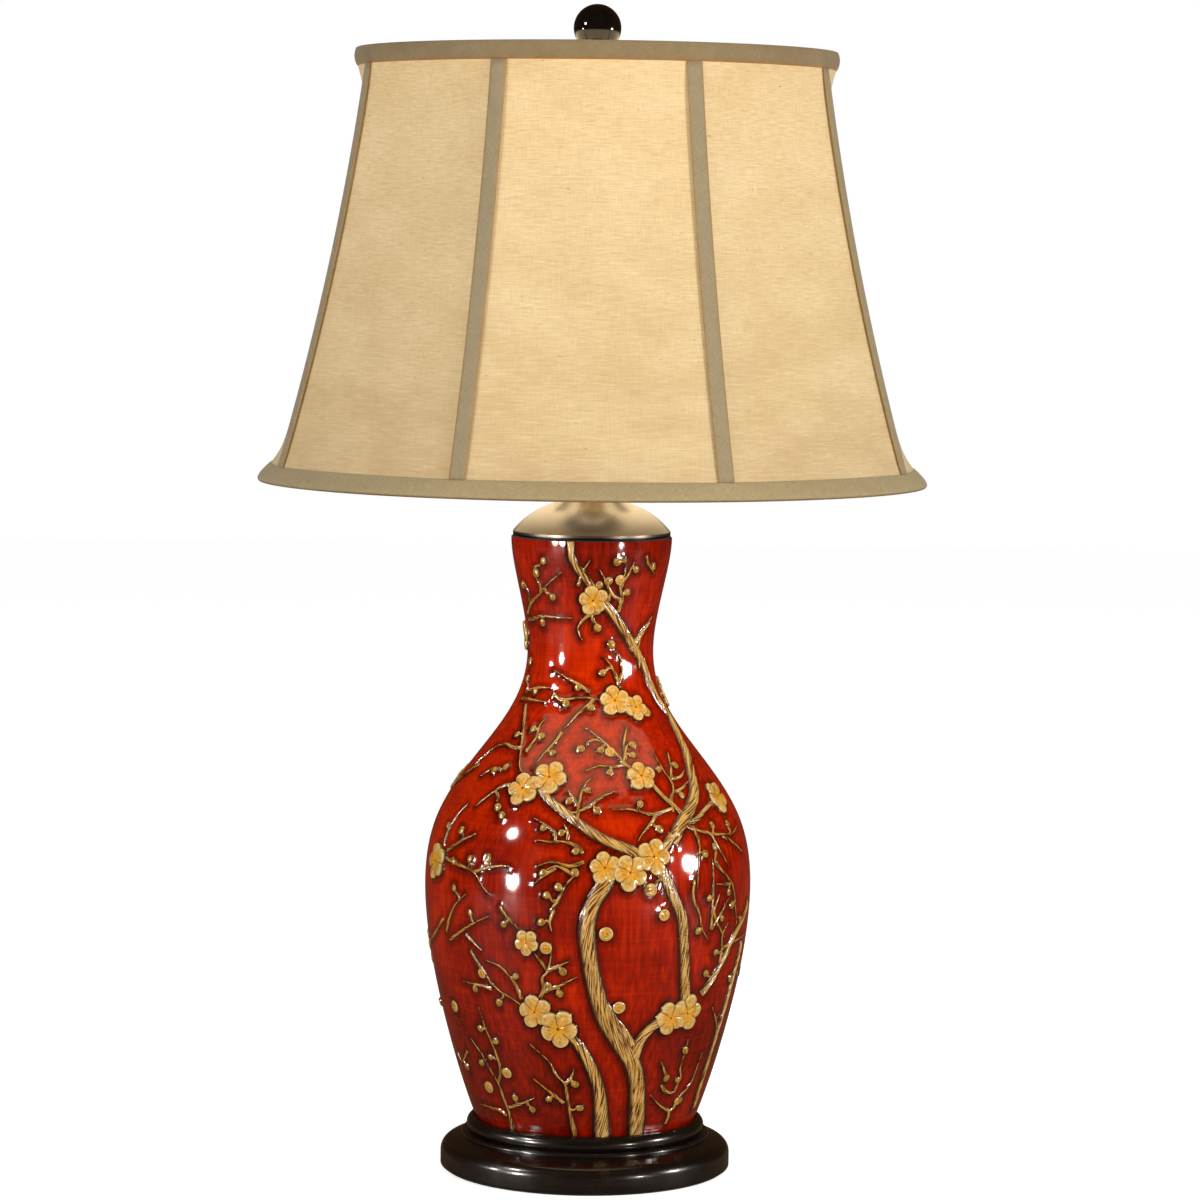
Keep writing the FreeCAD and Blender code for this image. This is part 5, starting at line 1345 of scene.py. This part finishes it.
def grow_back(boughs, twigs, blossoms, buds):
    """Adds boughs with forks, twigs, blossoms and buds to the strokes and shapes of the front."""
    chance = random.Random(BACK_SEED)
    for degrees, width, lean in BACK_BOUGHS:
        points, places = walk(FRONT + math.radians(degrees), GROWTH_LOW * MM, math.radians(lean), TRUNK, chance)
        boughs.append((points, width / 2 * MM, BACK_TIP / 2 * MM))
        side = 1
        for turn, level, heading in places[3::2]:
            side = -side
            angle = heading + side * chance.uniform(*BRANCHING)
            forked = chance.random() < FORK_SHARE
            limb, knots = walk(turn, level, angle, FORK if forked else SPRIG, chance)
            if len(limb) < 3:
                continue
            if forked:
                boughs.append((limb, FORK_WIDTH / 2 * MM, FORK_TIP / 2 * MM))
                blossoms.append((limb[-1], spun(limb[-1], chance.uniform(0, 72)),
                                 chance.uniform(*FORK_BLOSSOMS) * MM, 0.0))
            else:
                twigs.append((limb, TWIG_WIDTH / 2 * MM, TWIG_TIP / 2 * MM))
            buds.extend(back_buds(knots[2:], chance))
        blossoms.append((points[-1], spun(points[-1], chance.uniform(0, 72)), BACK_BLOSSOM * MM, 0.0))


def back_buds(knots, chance):
    """Buds beside some of a limb's knots, on either side."""
    for turn, level, heading in knots:
        if chance.random() < BACK_BUD_SHARE:
            lean_out = heading + chance.choice((-1, 1)) * BACK_BUD_LEAN
            out = BACK_BUD_OUT * MM
            around = turn + math.sin(lean_out) * out / vase_radius(level)
            bud = on_surface(around, level + math.cos(lean_out) * out)
            yield bud, (bud - on_surface(turn, level)).normalized(), BACK_BUD_SIZE * MM, 0.0


# How twigs, stalks and buds join

STALK_WIDTH, STALK_TIP = 2.0, 1.5
STALK_LEAST, STALK_LONGEST = 1.0, 16.0
STALK_BEND, STALK_SHARE = 0.16, 0.75
BUD_SIZE, BUD_SMALLER = 4.4, 0.3
BUD_ON_TWIG, BUD_TURN = 0.3, 30
BLOSSOM_OVER = 0.35


def nearest_on(strokes, point):
    """The nearest place to a point on any stroke."""
    best = None
    for points, half, tip in strokes:
        for before, after in zip(points, points[1:]):
            step = after - before
            share = min(max((point - before).dot(step) / max(step.length_squared, 1e-12), 0.0), 1.0)
            place = before + step * share
            if best is None or (place - point).length < (best - point).length:
                best = place
    return best


def rooted(path, others):
    """The path, turned so that it starts at the end that lies nearer another stroke."""
    start, end = ((nearest_on(others, tip) - tip).length for tip in (path[0], path[-1]))
    return path if start <= end else path[::-1]


def stalk(root, bud, side):
    """A short bent stroke from a place on a twig to its bud."""
    lead = bud - root
    bend = outward(root).cross(lead) * (side * STALK_BEND)
    points = [root, root + lead * (STALK_SHARE / 2) + bend, root + lead * STALK_SHARE]
    return points, STALK_WIDTH / 2 * MM, STALK_TIP / 2 * MM


def front_growth():
    """The strokes and shapes that the photograph shows: boughs, twigs, blossoms, buds and rosettes."""
    boughs = [([on_vase(*spot) for spot in bough.path], bough.width / 2 * MM, bough.tip / 2 * MM)
              for bough in BOUGHS]
    drawn = [([on_vase(*spot) for spot in path], TWIG_WIDTH / 2 * MM, TWIG_TIP / 2 * MM) for path in TWIGS]
    twigs = [(rooted(path, boughs + drawn[:order] + drawn[order + 1:]), half, tip)
             for order, (path, half, tip) in enumerate(drawn)]
    blossoms = []
    for order, blossom in enumerate(BLOSSOMS):
        point = on_vase(blossom.column, blossom.row)
        blossoms.append((point, spun(point, blossom.spin), blossom.radius * MM, order % 3 * BLOSSOM_OVER * MM))
    buds = []
    stalks = []
    for order, spot in enumerate(BUDS):
        point = on_vase(*spot)
        root = nearest_on(twigs + boughs, point)
        lead = point - root
        if STALK_LEAST * MM < lead.length < STALK_LONGEST * MM:
            stalks.append(stalk(root, point, 1 - order % 2 * 2))
        lead = lead.normalized() if lead.length > BUD_ON_TWIG * MM else spun(point, BUD_TURN)
        buds.append((point, lead, (BUD_SIZE - order % 3 * BUD_SMALLER) * MM, 0.0))
    rosettes = []
    for column, row, radius in ROSETTES:
        point = on_vase(column, row)
        rosettes.append((point, spun(point, column * ROSETTE_SPIN % 360), radius * MM, 0.0))
    return boughs, twigs + stalks, blossoms, buds, rosettes


Carving = namedtuple("Carving", "name along across rise skirt depth knot gilt")

CARVINGS = (Carving("relief_boughs", 150, 19, 1.9, 0.9, 0.7, 0.05, BARK),
            Carving("relief_twigs", 34, 9, 1.4, 0.45, 0.1, 0.3, TWIGS_GILT))


def carve(carving, strokes, tree, vase):
    """One piece that holds all the strokes of a kind."""
    paths = lay_strokes(strokes, carving.name + "_paths", carving.knot)
    mesh = run_tree(carving.name, tree, {
        "Strokes": paths, "Vase": vase, "Steps along": carving.along, "Steps across": carving.across,
        "Rise": carving.rise * MM, "Skirt": carving.skirt * MM, "Grain depth": carving.depth * MM,
        "Finish": carving.gilt})
    bpy.data.objects.remove(paths)
    return new_piece(carving.name, mesh, "stand", "glaze")


def make_relief(vase):
    """Lays all the relief on the vase and returns its pieces."""
    boughs, twigs, blossoms, buds, rosettes = front_growth()
    grow_back(boughs, twigs, blossoms, buds)
    carver = stroke_tree()
    pieces = [carve(carving, strokes, carver, vase) for carving, strokes in zip(CARVINGS, (boughs, twigs))]
    shapes = shape_tree()
    blossom = polar_shape("blossom", PETAL_RINGS, PETAL_SPOKES, petal_reach, petal_lift, petal_seam)
    bud = polar_shape("bud", BUD_RINGS, BUD_SPOKES, bud_reach, bud_lift, lambda ring, turn: 0.0)
    rosette = polar_shape("rosette", ROSETTE_RINGS, ROSETTE_SPOKES, lambda turn: 1.0, rosette_lift, curl)
    for name, shape, spots, gilt in (("relief_blossoms", blossom, blossoms, PETALS),
                                     ("relief_buds", bud, buds, BUDS_GILT),
                                     ("relief_rosettes", rosette, rosettes, PETALS)):
        mesh = run_tree(name, shapes, {"Shape": shape, "Vase": vase, "Finish": gilt}, spots_mesh(name, spots))
        pieces.append(new_piece(name, mesh, "stand", "glaze"))
        bpy.data.objects.remove(shape)
    return pieces


# The glazed vase, with glaze pooled round its relief and a painted shadow cast below and left of it

POOL_AND_SHADOW_REACH = 4.8
# shift that throws the painted shadow below and left of the relief
SHADOW_SHIFT = Vector((0.8, 0.0, 0.6))


def pool_and_shadow_tree():
    """Keeps on the vase how near each place lies to the relief: 1 at its edge, 0 from the reach on. Each place
    is measured as if shifted up and right, so the dark reaches further below and left of the relief: a painted
    shadow as well as pooled glaze.
    """
    nodes, given, result = new_tree("pooled_glaze", {"Relief": "Object", "Reach": "Float"})
    relief = nodes.add("GeometryNodeObjectInfo", {"Object": given["Relief"]}, "Geometry")
    shifted = nodes.vector("ADD", nodes.add("GeometryNodeInputPosition"), SHADOW_SHIFT * MM)
    away = nodes.add("GeometryNodeProximity", {"Geometry": relief, "Source Position": shifted}, "Distance",
                     target_element="FACES")
    pool = nodes.span(nodes.math("DIVIDE", away, given["Reach"]), 0.0, 1.0, 1.0, 0.0)
    nodes.give(result, kept(nodes, given["Geometry"], "pool", pool))
    return nodes


def joined(name, pieces):
    """One object with copies of all the pieces' meshes."""
    work = bmesh.new()
    for piece in pieces:
        work.from_mesh(piece.data)
    mesh = bpy.data.meshes.new(name)
    work.to_mesh(mesh)
    work.free()
    return new_object(name, mesh)


def make_vase():
    """The glazed vase and the relief that is laid on it."""
    plain = new_object("vase_plain", vase_mesh())
    pieces = make_relief(plain)
    relief = joined("relief_together", pieces)
    mesh = run_tree("vase_glazed", pool_and_shadow_tree(), {"Relief": relief, "Reach": POOL_AND_SHADOW_REACH * MM}, plain.data.copy())
    bpy.data.objects.remove(relief)
    bpy.data.objects.remove(plain)
    new_piece("vase_glazed", mesh, "stand", "glaze", ["vase"])


# Cap

CAP_FOOT = 438.0
CAP_SHEET = 1.2
CAP_RADIUS, CAP_LIP, CAP_HEIGHT = 54.0, 3.0, 37.0
CAP_BROW = (32.0, 19.6)
CAP_BROW_BULGE, CAP_HOLLOW = 1.8, 1.1
CAP_NECK_RADIUS, CAP_NECK_HEIGHT = 8.6, 3.2
CAP_EDGE, CAP_NECK_EDGE = 0.3, 0.4
ROD_PASSAGE = 5.3


def make_cap():
    neck = (CAP_NECK_RADIUS, CAP_HEIGHT - CAP_NECK_HEIGHT)
    outline = [(CAP_RADIUS - CAP_SHEET, 0.0), (CAP_RADIUS - CAP_EDGE, 0.0), (CAP_RADIUS, CAP_EDGE)]
    outline += bowed((CAP_RADIUS, CAP_LIP), CAP_BROW, CAP_BROW_BULGE, 16)
    outline += bowed(CAP_BROW, neck, -CAP_HOLLOW, 16) + [neck]
    outline += [(CAP_NECK_RADIUS, CAP_HEIGHT - CAP_NECK_EDGE), (CAP_NECK_RADIUS - CAP_NECK_EDGE, CAP_HEIGHT),
                (ROD_PASSAGE, CAP_HEIGHT)]
    inner_neck = (CAP_NECK_RADIUS - CAP_SHEET, CAP_HEIGHT - CAP_NECK_HEIGHT - CAP_SHEET)
    inner_brow = (CAP_BROW[0] - CAP_SHEET / 2, CAP_BROW[1] - CAP_SHEET)
    outline += [(ROD_PASSAGE, CAP_HEIGHT - CAP_SHEET), (inner_neck[0], CAP_HEIGHT - CAP_SHEET)]
    outline += bowed(inner_neck, inner_brow, CAP_HOLLOW, 10)
    outline += bowed(inner_brow, (CAP_RADIUS - CAP_SHEET, CAP_LIP), -CAP_BROW_BULGE, 10)
    outline += [(CAP_RADIUS - CAP_SHEET, CAP_LIP), outline[0]]
    outline = [(radius, level + CAP_FOOT) for radius, level in outline]
    mesh = lathe("cap_spinning", outline, SPUN_NICKEL, 256)
    new_piece("cap_spinning", mesh, "stand", "satin_nickel", ["vase_cap"])


# Finial ball

BALL_RADIUS, BALL_MIDDLE, BALL_FLAT = 16.2, 783.0, 0.7


def make_ball():
    low = -math.asin((BALL_RADIUS - BALL_FLAT) / BALL_RADIUS)
    steps = 48
    outline = [(0.0, BALL_MIDDLE - BALL_RADIUS + BALL_FLAT)]
    for step in range(steps + 1):
        turn = low + (math.pi / 2 - low) * step / steps
        outline.append((BALL_RADIUS * math.cos(turn), BALL_MIDDLE + BALL_RADIUS * math.sin(turn)))
    mesh = lathe("ball_gloss", outline, BLACK_GLOSS, 96)
    new_piece("ball_gloss", mesh, "finial", "finial_black", ["finial_ball"])


# Shade

PANELS = 8
HALF_PANEL = math.pi / PANELS
PANEL_LOW, PANEL_HIGH = 475.9, 766.2
RIB_LOW, RIB_HIGH, RIB_SAG = 227.15, 162.4, 6.0
FULL_LOW, FULL_HIGH = 0.42, 0.16
FLARE_LOW, FLARE_LOW_POWER = 14.0, 1.6
FLARE_HIGH, FLARE_HIGH_POWER = 22.0, 2.2
CLOTH_THICKNESS = 0.9
SEAM_GAP = 0.15
LINING_THICKNESS = 0.5
LINING_LOW, LINING_HIGH, LINING_FULLNESS, LINING_GAP = 480.2, 757.95, 0.72, 0.8
TAPE_LOW, TAPE_HIGH, TAPE_WIDTH, TAPE_THICKNESS = 487.1, 755.0, 11.2, 1.2
TAPE_DROP, TAPE_BODY = 0.45, 0.6
CROWDING = 0.12


def rib_radius(level):
    share = (level - PANEL_LOW) / (PANEL_HIGH - PANEL_LOW)
    return RIB_LOW + (RIB_HIGH - RIB_LOW) * share - 4 * RIB_SAG * share * (1 - share)


def fullness(level):
    """How round the panels are at a level: full at both rings and drawn in between them."""
    share = (level - PANEL_LOW) / (PANEL_HIGH - PANEL_LOW)
    middle = FULL_LOW + (FULL_HIGH - FULL_LOW) * share
    low = math.exp(-abs((level - PANEL_LOW) / FLARE_LOW) ** FLARE_LOW_POWER)
    high = math.exp(-abs((PANEL_HIGH - level) / FLARE_HIGH) ** FLARE_HIGH_POWER)
    return min(1.0, middle + (1 - middle) * (low + high))


def panel_arc(level, gap=0.0):
    """The arc that a panel makes at a level: half its chord, its middle's distance out, and its radius."""
    rib = rib_radius(level)
    half = rib * math.sin(HALF_PANEL) - gap
    rise = max(fullness(level) * rib * (1 - math.cos(HALF_PANEL)), 0.01)
    bend = (half * half + rise * rise) / (2 * rise)
    return half, rib * math.cos(HALF_PANEL) + rise - bend, bend


def beside(turn, out, side, level):
    """Point in metres at a level, that far out at an angle and that far to its side."""
    return Vector((math.cos(turn) * out - math.sin(turn) * side, math.sin(turn) * out + math.cos(turn) * side,
                   level)) * MM


def panel_point(level, share, turn):
    """Point of a panel's outer face, share -1 to 1 from rib to rib, in metres."""
    half, middle, bend = panel_arc(level, SEAM_GAP / 2)
    side = half * share
    return beside(turn, middle + math.sqrt(bend * bend - side * side), side, level)


def levels_between(low, high, steps):
    """Levels from low to high, closer together near both ends."""
    for step in range(steps + 1):
        share = step / steps
        eased = share - CROWDING * math.sin(math.tau * share)
        yield low + (high - low) * eased


def thicken(piece, thickness):
    """Gives a sheet a wall of so many mm on its inner side."""
    wall = piece.modifiers.new("cloth", "SOLIDIFY")
    wall.thickness = thickness * MM
    wall.offset = -1


def make_panels():
    rows_up, steps_across = 60, 28
    levels = list(levels_between(PANEL_LOW, PANEL_HIGH, rows_up))
    for number in range(PANELS):
        turn = FRONT + number * 2 * HALF_PANEL
        rows = [[panel_point(level, 2 * step / steps_across - 1, turn) for step in range(steps_across + 1)]
                for level in levels]
        side = math.tau / PANELS * RIB_LOW * MM
        name = f"shade_cloth_{number + 1}"
        mesh = grid_mesh(name, rows, CLOTH, lambda row, column: (
            side * (column / steps_across - 0.5) + number, (levels[row] - PANEL_LOW) * MM))
        node = f"shade_panel_{number + 1}"
        panel = new_piece(name, mesh, "shade", "shade_cloth", [node])
        area = sheet_area(rows)
        thicken(panel, CLOTH_THICKNESS)


def sheet_area(rows):
    """Area of a grid of points, in square metres."""
    total = 0.0
    for low, high in zip(rows, rows[1:]):
        for step in range(len(low) - 1):
            across = low[step + 1] - low[step]
            along = high[step] - low[step]
            total += across.cross(along).length
    return total


def make_lining():
    steps = 128
    levels = list(levels_between(LINING_LOW, LINING_HIGH, 40))

    def radius(level):
        rise = LINING_FULLNESS * fullness(level) * (1 - math.cos(HALF_PANEL))
        return rib_radius(level) * (math.cos(HALF_PANEL) + rise) - CLOTH_THICKNESS - LINING_GAP

    rows = [[ring_point(radius(level) * MM, math.tau * step / steps, level * MM) for step in range(steps)]
            for level in levels]
    round_length = math.tau * radius(LINING_LOW) * MM
    mesh = grid_mesh("lining_sheet", rows, LINING, lambda row, column: (
        round_length * column / steps, levels[row] * MM), closed=True)
    lining = new_piece("lining_sheet", mesh, "shade", "lining", ["shade_lining"])
    area = sheet_area([row + row[:1] for row in rows])
    thicken(lining, LINING_THICKNESS)


def make_tapes():
    """Bias tapes over the ribs, with a rounded back."""
    rows_up, steps_across = 48, 10
    for number in range(PANELS):
        turn = FRONT + (2 * number + 1) * HALF_PANEL
        rows = []
        for row in range(rows_up + 1):
            level = TAPE_LOW + (TAPE_HIGH - TAPE_LOW) * row / rows_up
            line = []
            for step in range(steps_across + 1):
                share = 2 * step / steps_across - 1
                out = rib_radius(level) + SEAM_GAP + TAPE_THICKNESS * (1 - TAPE_DROP * share ** 4)
                line.append(beside(turn, out, TAPE_WIDTH / 2 * share, level))
            rows.append(line)
        name = f"rib_tape_{number + 1}"
        mesh = grid_mesh(name, rows, RIB_TAPE, lambda row, column: (
            TAPE_WIDTH * MM * column / steps_across, row / rows_up * (TAPE_HIGH - TAPE_LOW) * MM),
            across=lambda row, column: abs(2 * column / steps_across - 1))
        tape = new_piece(name, mesh, "shade", "rib_tape", [f"rib_trim_{number + 1}"])
        thicken(tape, TAPE_BODY * TAPE_THICKNESS)
        sum((after[0] - before[0]).length for before, after in zip(rows, rows[1:]))


TRIM_WALL, TRIM_HEIGHT, TRIM_INNER_HEIGHT = 1.2, 12.4, 4.5
TRIM_EDGE, TRIM_PUFF, TRIM_HEM = 0.4, 1.8, 8.0
TRIM_ROUND, TRIM_BEVEL, TRIM_REACH = 1.0, 0.3, 1.6
PUFF_FROM, PUFF_POWER = 0.06, 0.8
TOP_TRIM_TOP, TOP_TRIM_LEAF = 767.55, 156.5
BOTTOM_TRIM_FOOT, BOTTOM_TRIM_LEAF = 474.55, 219.15
BINDING_STEPS = 320


def cloth_radius(turn, level):
    """How far from the axis the cloth's outer face is at an angle and a level, in mm."""
    half, middle, bend = panel_arc(min(max(level, PANEL_LOW), PANEL_HIGH))
    off = (turn - FRONT + HALF_PANEL) % (2 * HALF_PANEL) - HALF_PANEL
    return middle * math.cos(off) + math.sqrt(bend * bend - (middle * math.sin(off)) ** 2)


def make_bindings():
    """Rolled bindings round both edges of the shade, puffed out and drawn in at their inner edges."""
    bind_edge("top_binding", TOP_BINDING, "shade_top_trim", TOP_TRIM_TOP, -1, TOP_TRIM_LEAF, 1)
    bind_edge("bottom_binding", BOTTOM_BINDING, "shade_bottom_trim", BOTTOM_TRIM_FOOT, 1, BOTTOM_TRIM_LEAF, 0)


def bind_edge(name, material, node, edge, way, leaf, lined):
    """way is 1 for a binding that rises from the shade's edge and -1 for one that hangs from it. The outline
    is told in radii, or in distances out from the cloth, and in distances from the edge."""
    steps = 14
    outline = [("radius", leaf, TRIM_INNER_HEIGHT), ("radius", leaf - TRIM_WALL, TRIM_INNER_HEIGHT),
               ("radius", leaf - TRIM_WALL, TRIM_ROUND), ("radius", leaf - TRIM_WALL + TRIM_BEVEL, TRIM_BEVEL),
               ("radius", leaf - TRIM_WALL + TRIM_ROUND, 0.0), ("cloth", -TRIM_REACH, 0.0)]
    for step in range(steps + 1):
        share = step / steps
        puff = math.sqrt(math.sin(math.pi * (PUFF_FROM + (1 - PUFF_FROM) * share ** PUFF_POWER)))
        outline.append(("cloth", TRIM_EDGE + TRIM_PUFF * puff - TRIM_BEVEL, TRIM_HEIGHT * share))
    outline += [("cloth", SEAM_GAP, TRIM_HEIGHT), ("cloth", SEAM_GAP, TRIM_WALL), ("radius", leaf, TRIM_WALL)]
    outline.append(outline[0])
    turns = [math.tau * step / BINDING_STEPS for step in range(BINDING_STEPS)]
    rows = []
    for kind, value, away in outline:
        level = edge + way * away
        radii = [value + (cloth_radius(turn, level) if kind == "cloth" else 0) for turn in turns]
        rows.append([ring_point(radius * MM, turn, level * MM) for radius, turn in zip(radii, turns)])
    if way < 0:
        rows.reverse()
        outline.reverse()
    lengths = [0.0]
    for before, after in zip(rows, rows[1:]):
        lengths.append(lengths[-1] + (after[0] - before[0]).length)

    # across runs to 1 at the far edge of the top binding, its stitched line, and at the lower edge of the
    # bottom binding, where the dark brown is painted shade
    def across(row, column):
        far = outline[row][2] / TRIM_HEIGHT
        return far if lined else 1 - far

    round_length = math.tau * cloth_radius(FRONT, edge) * MM
    mesh = grid_mesh(name, rows, material, lambda row, column: (
        round_length * column / BINDING_STEPS, lengths[row]), across, closed=True)
    weld(mesh)
    smooth(mesh, 60)
    binding = new_piece(name, mesh, "shade", "edge_trim", [node])


# CAD pieces that keep their shape: merged and smoothed copies with finishes of their own

SMOOTHED = ("harp_arm_left", "harp_arm_right", "harp_sleeve_left", "harp_sleeve_right", "harp_collar",
            "shade_swivel", "shade_spider", "finial_base", "socket_cap", "socket_shell", "switch_knob",
            "bulb_cap", "bulb_glass", "shade_top_ring", "shade_bottom_ring", "shade_rib_wires", "rim_gasket")


def finish_hardware():
    for material, nodes in HARDWARE.items():
        for node in nodes:
            carried = frame["nodes"][node]
            if node in SMOOTHED:
                mesh = carried.data.copy()
                mesh.name = node + "_smooth"
                mesh.materials.clear()
                mesh.materials.append(material)
                weld(mesh)
                smooth(mesh, 35)
                new_piece(node + "_smooth", mesh, BODY_OF[node], SLOT_OF[node], [node])
            else:
                for slot in carried.material_slots:
                    slot.material = material


make_base()
make_vase()
make_cap()
make_ball()
make_panels()
make_lining()
make_tapes()
make_bindings()
finish_hardware()
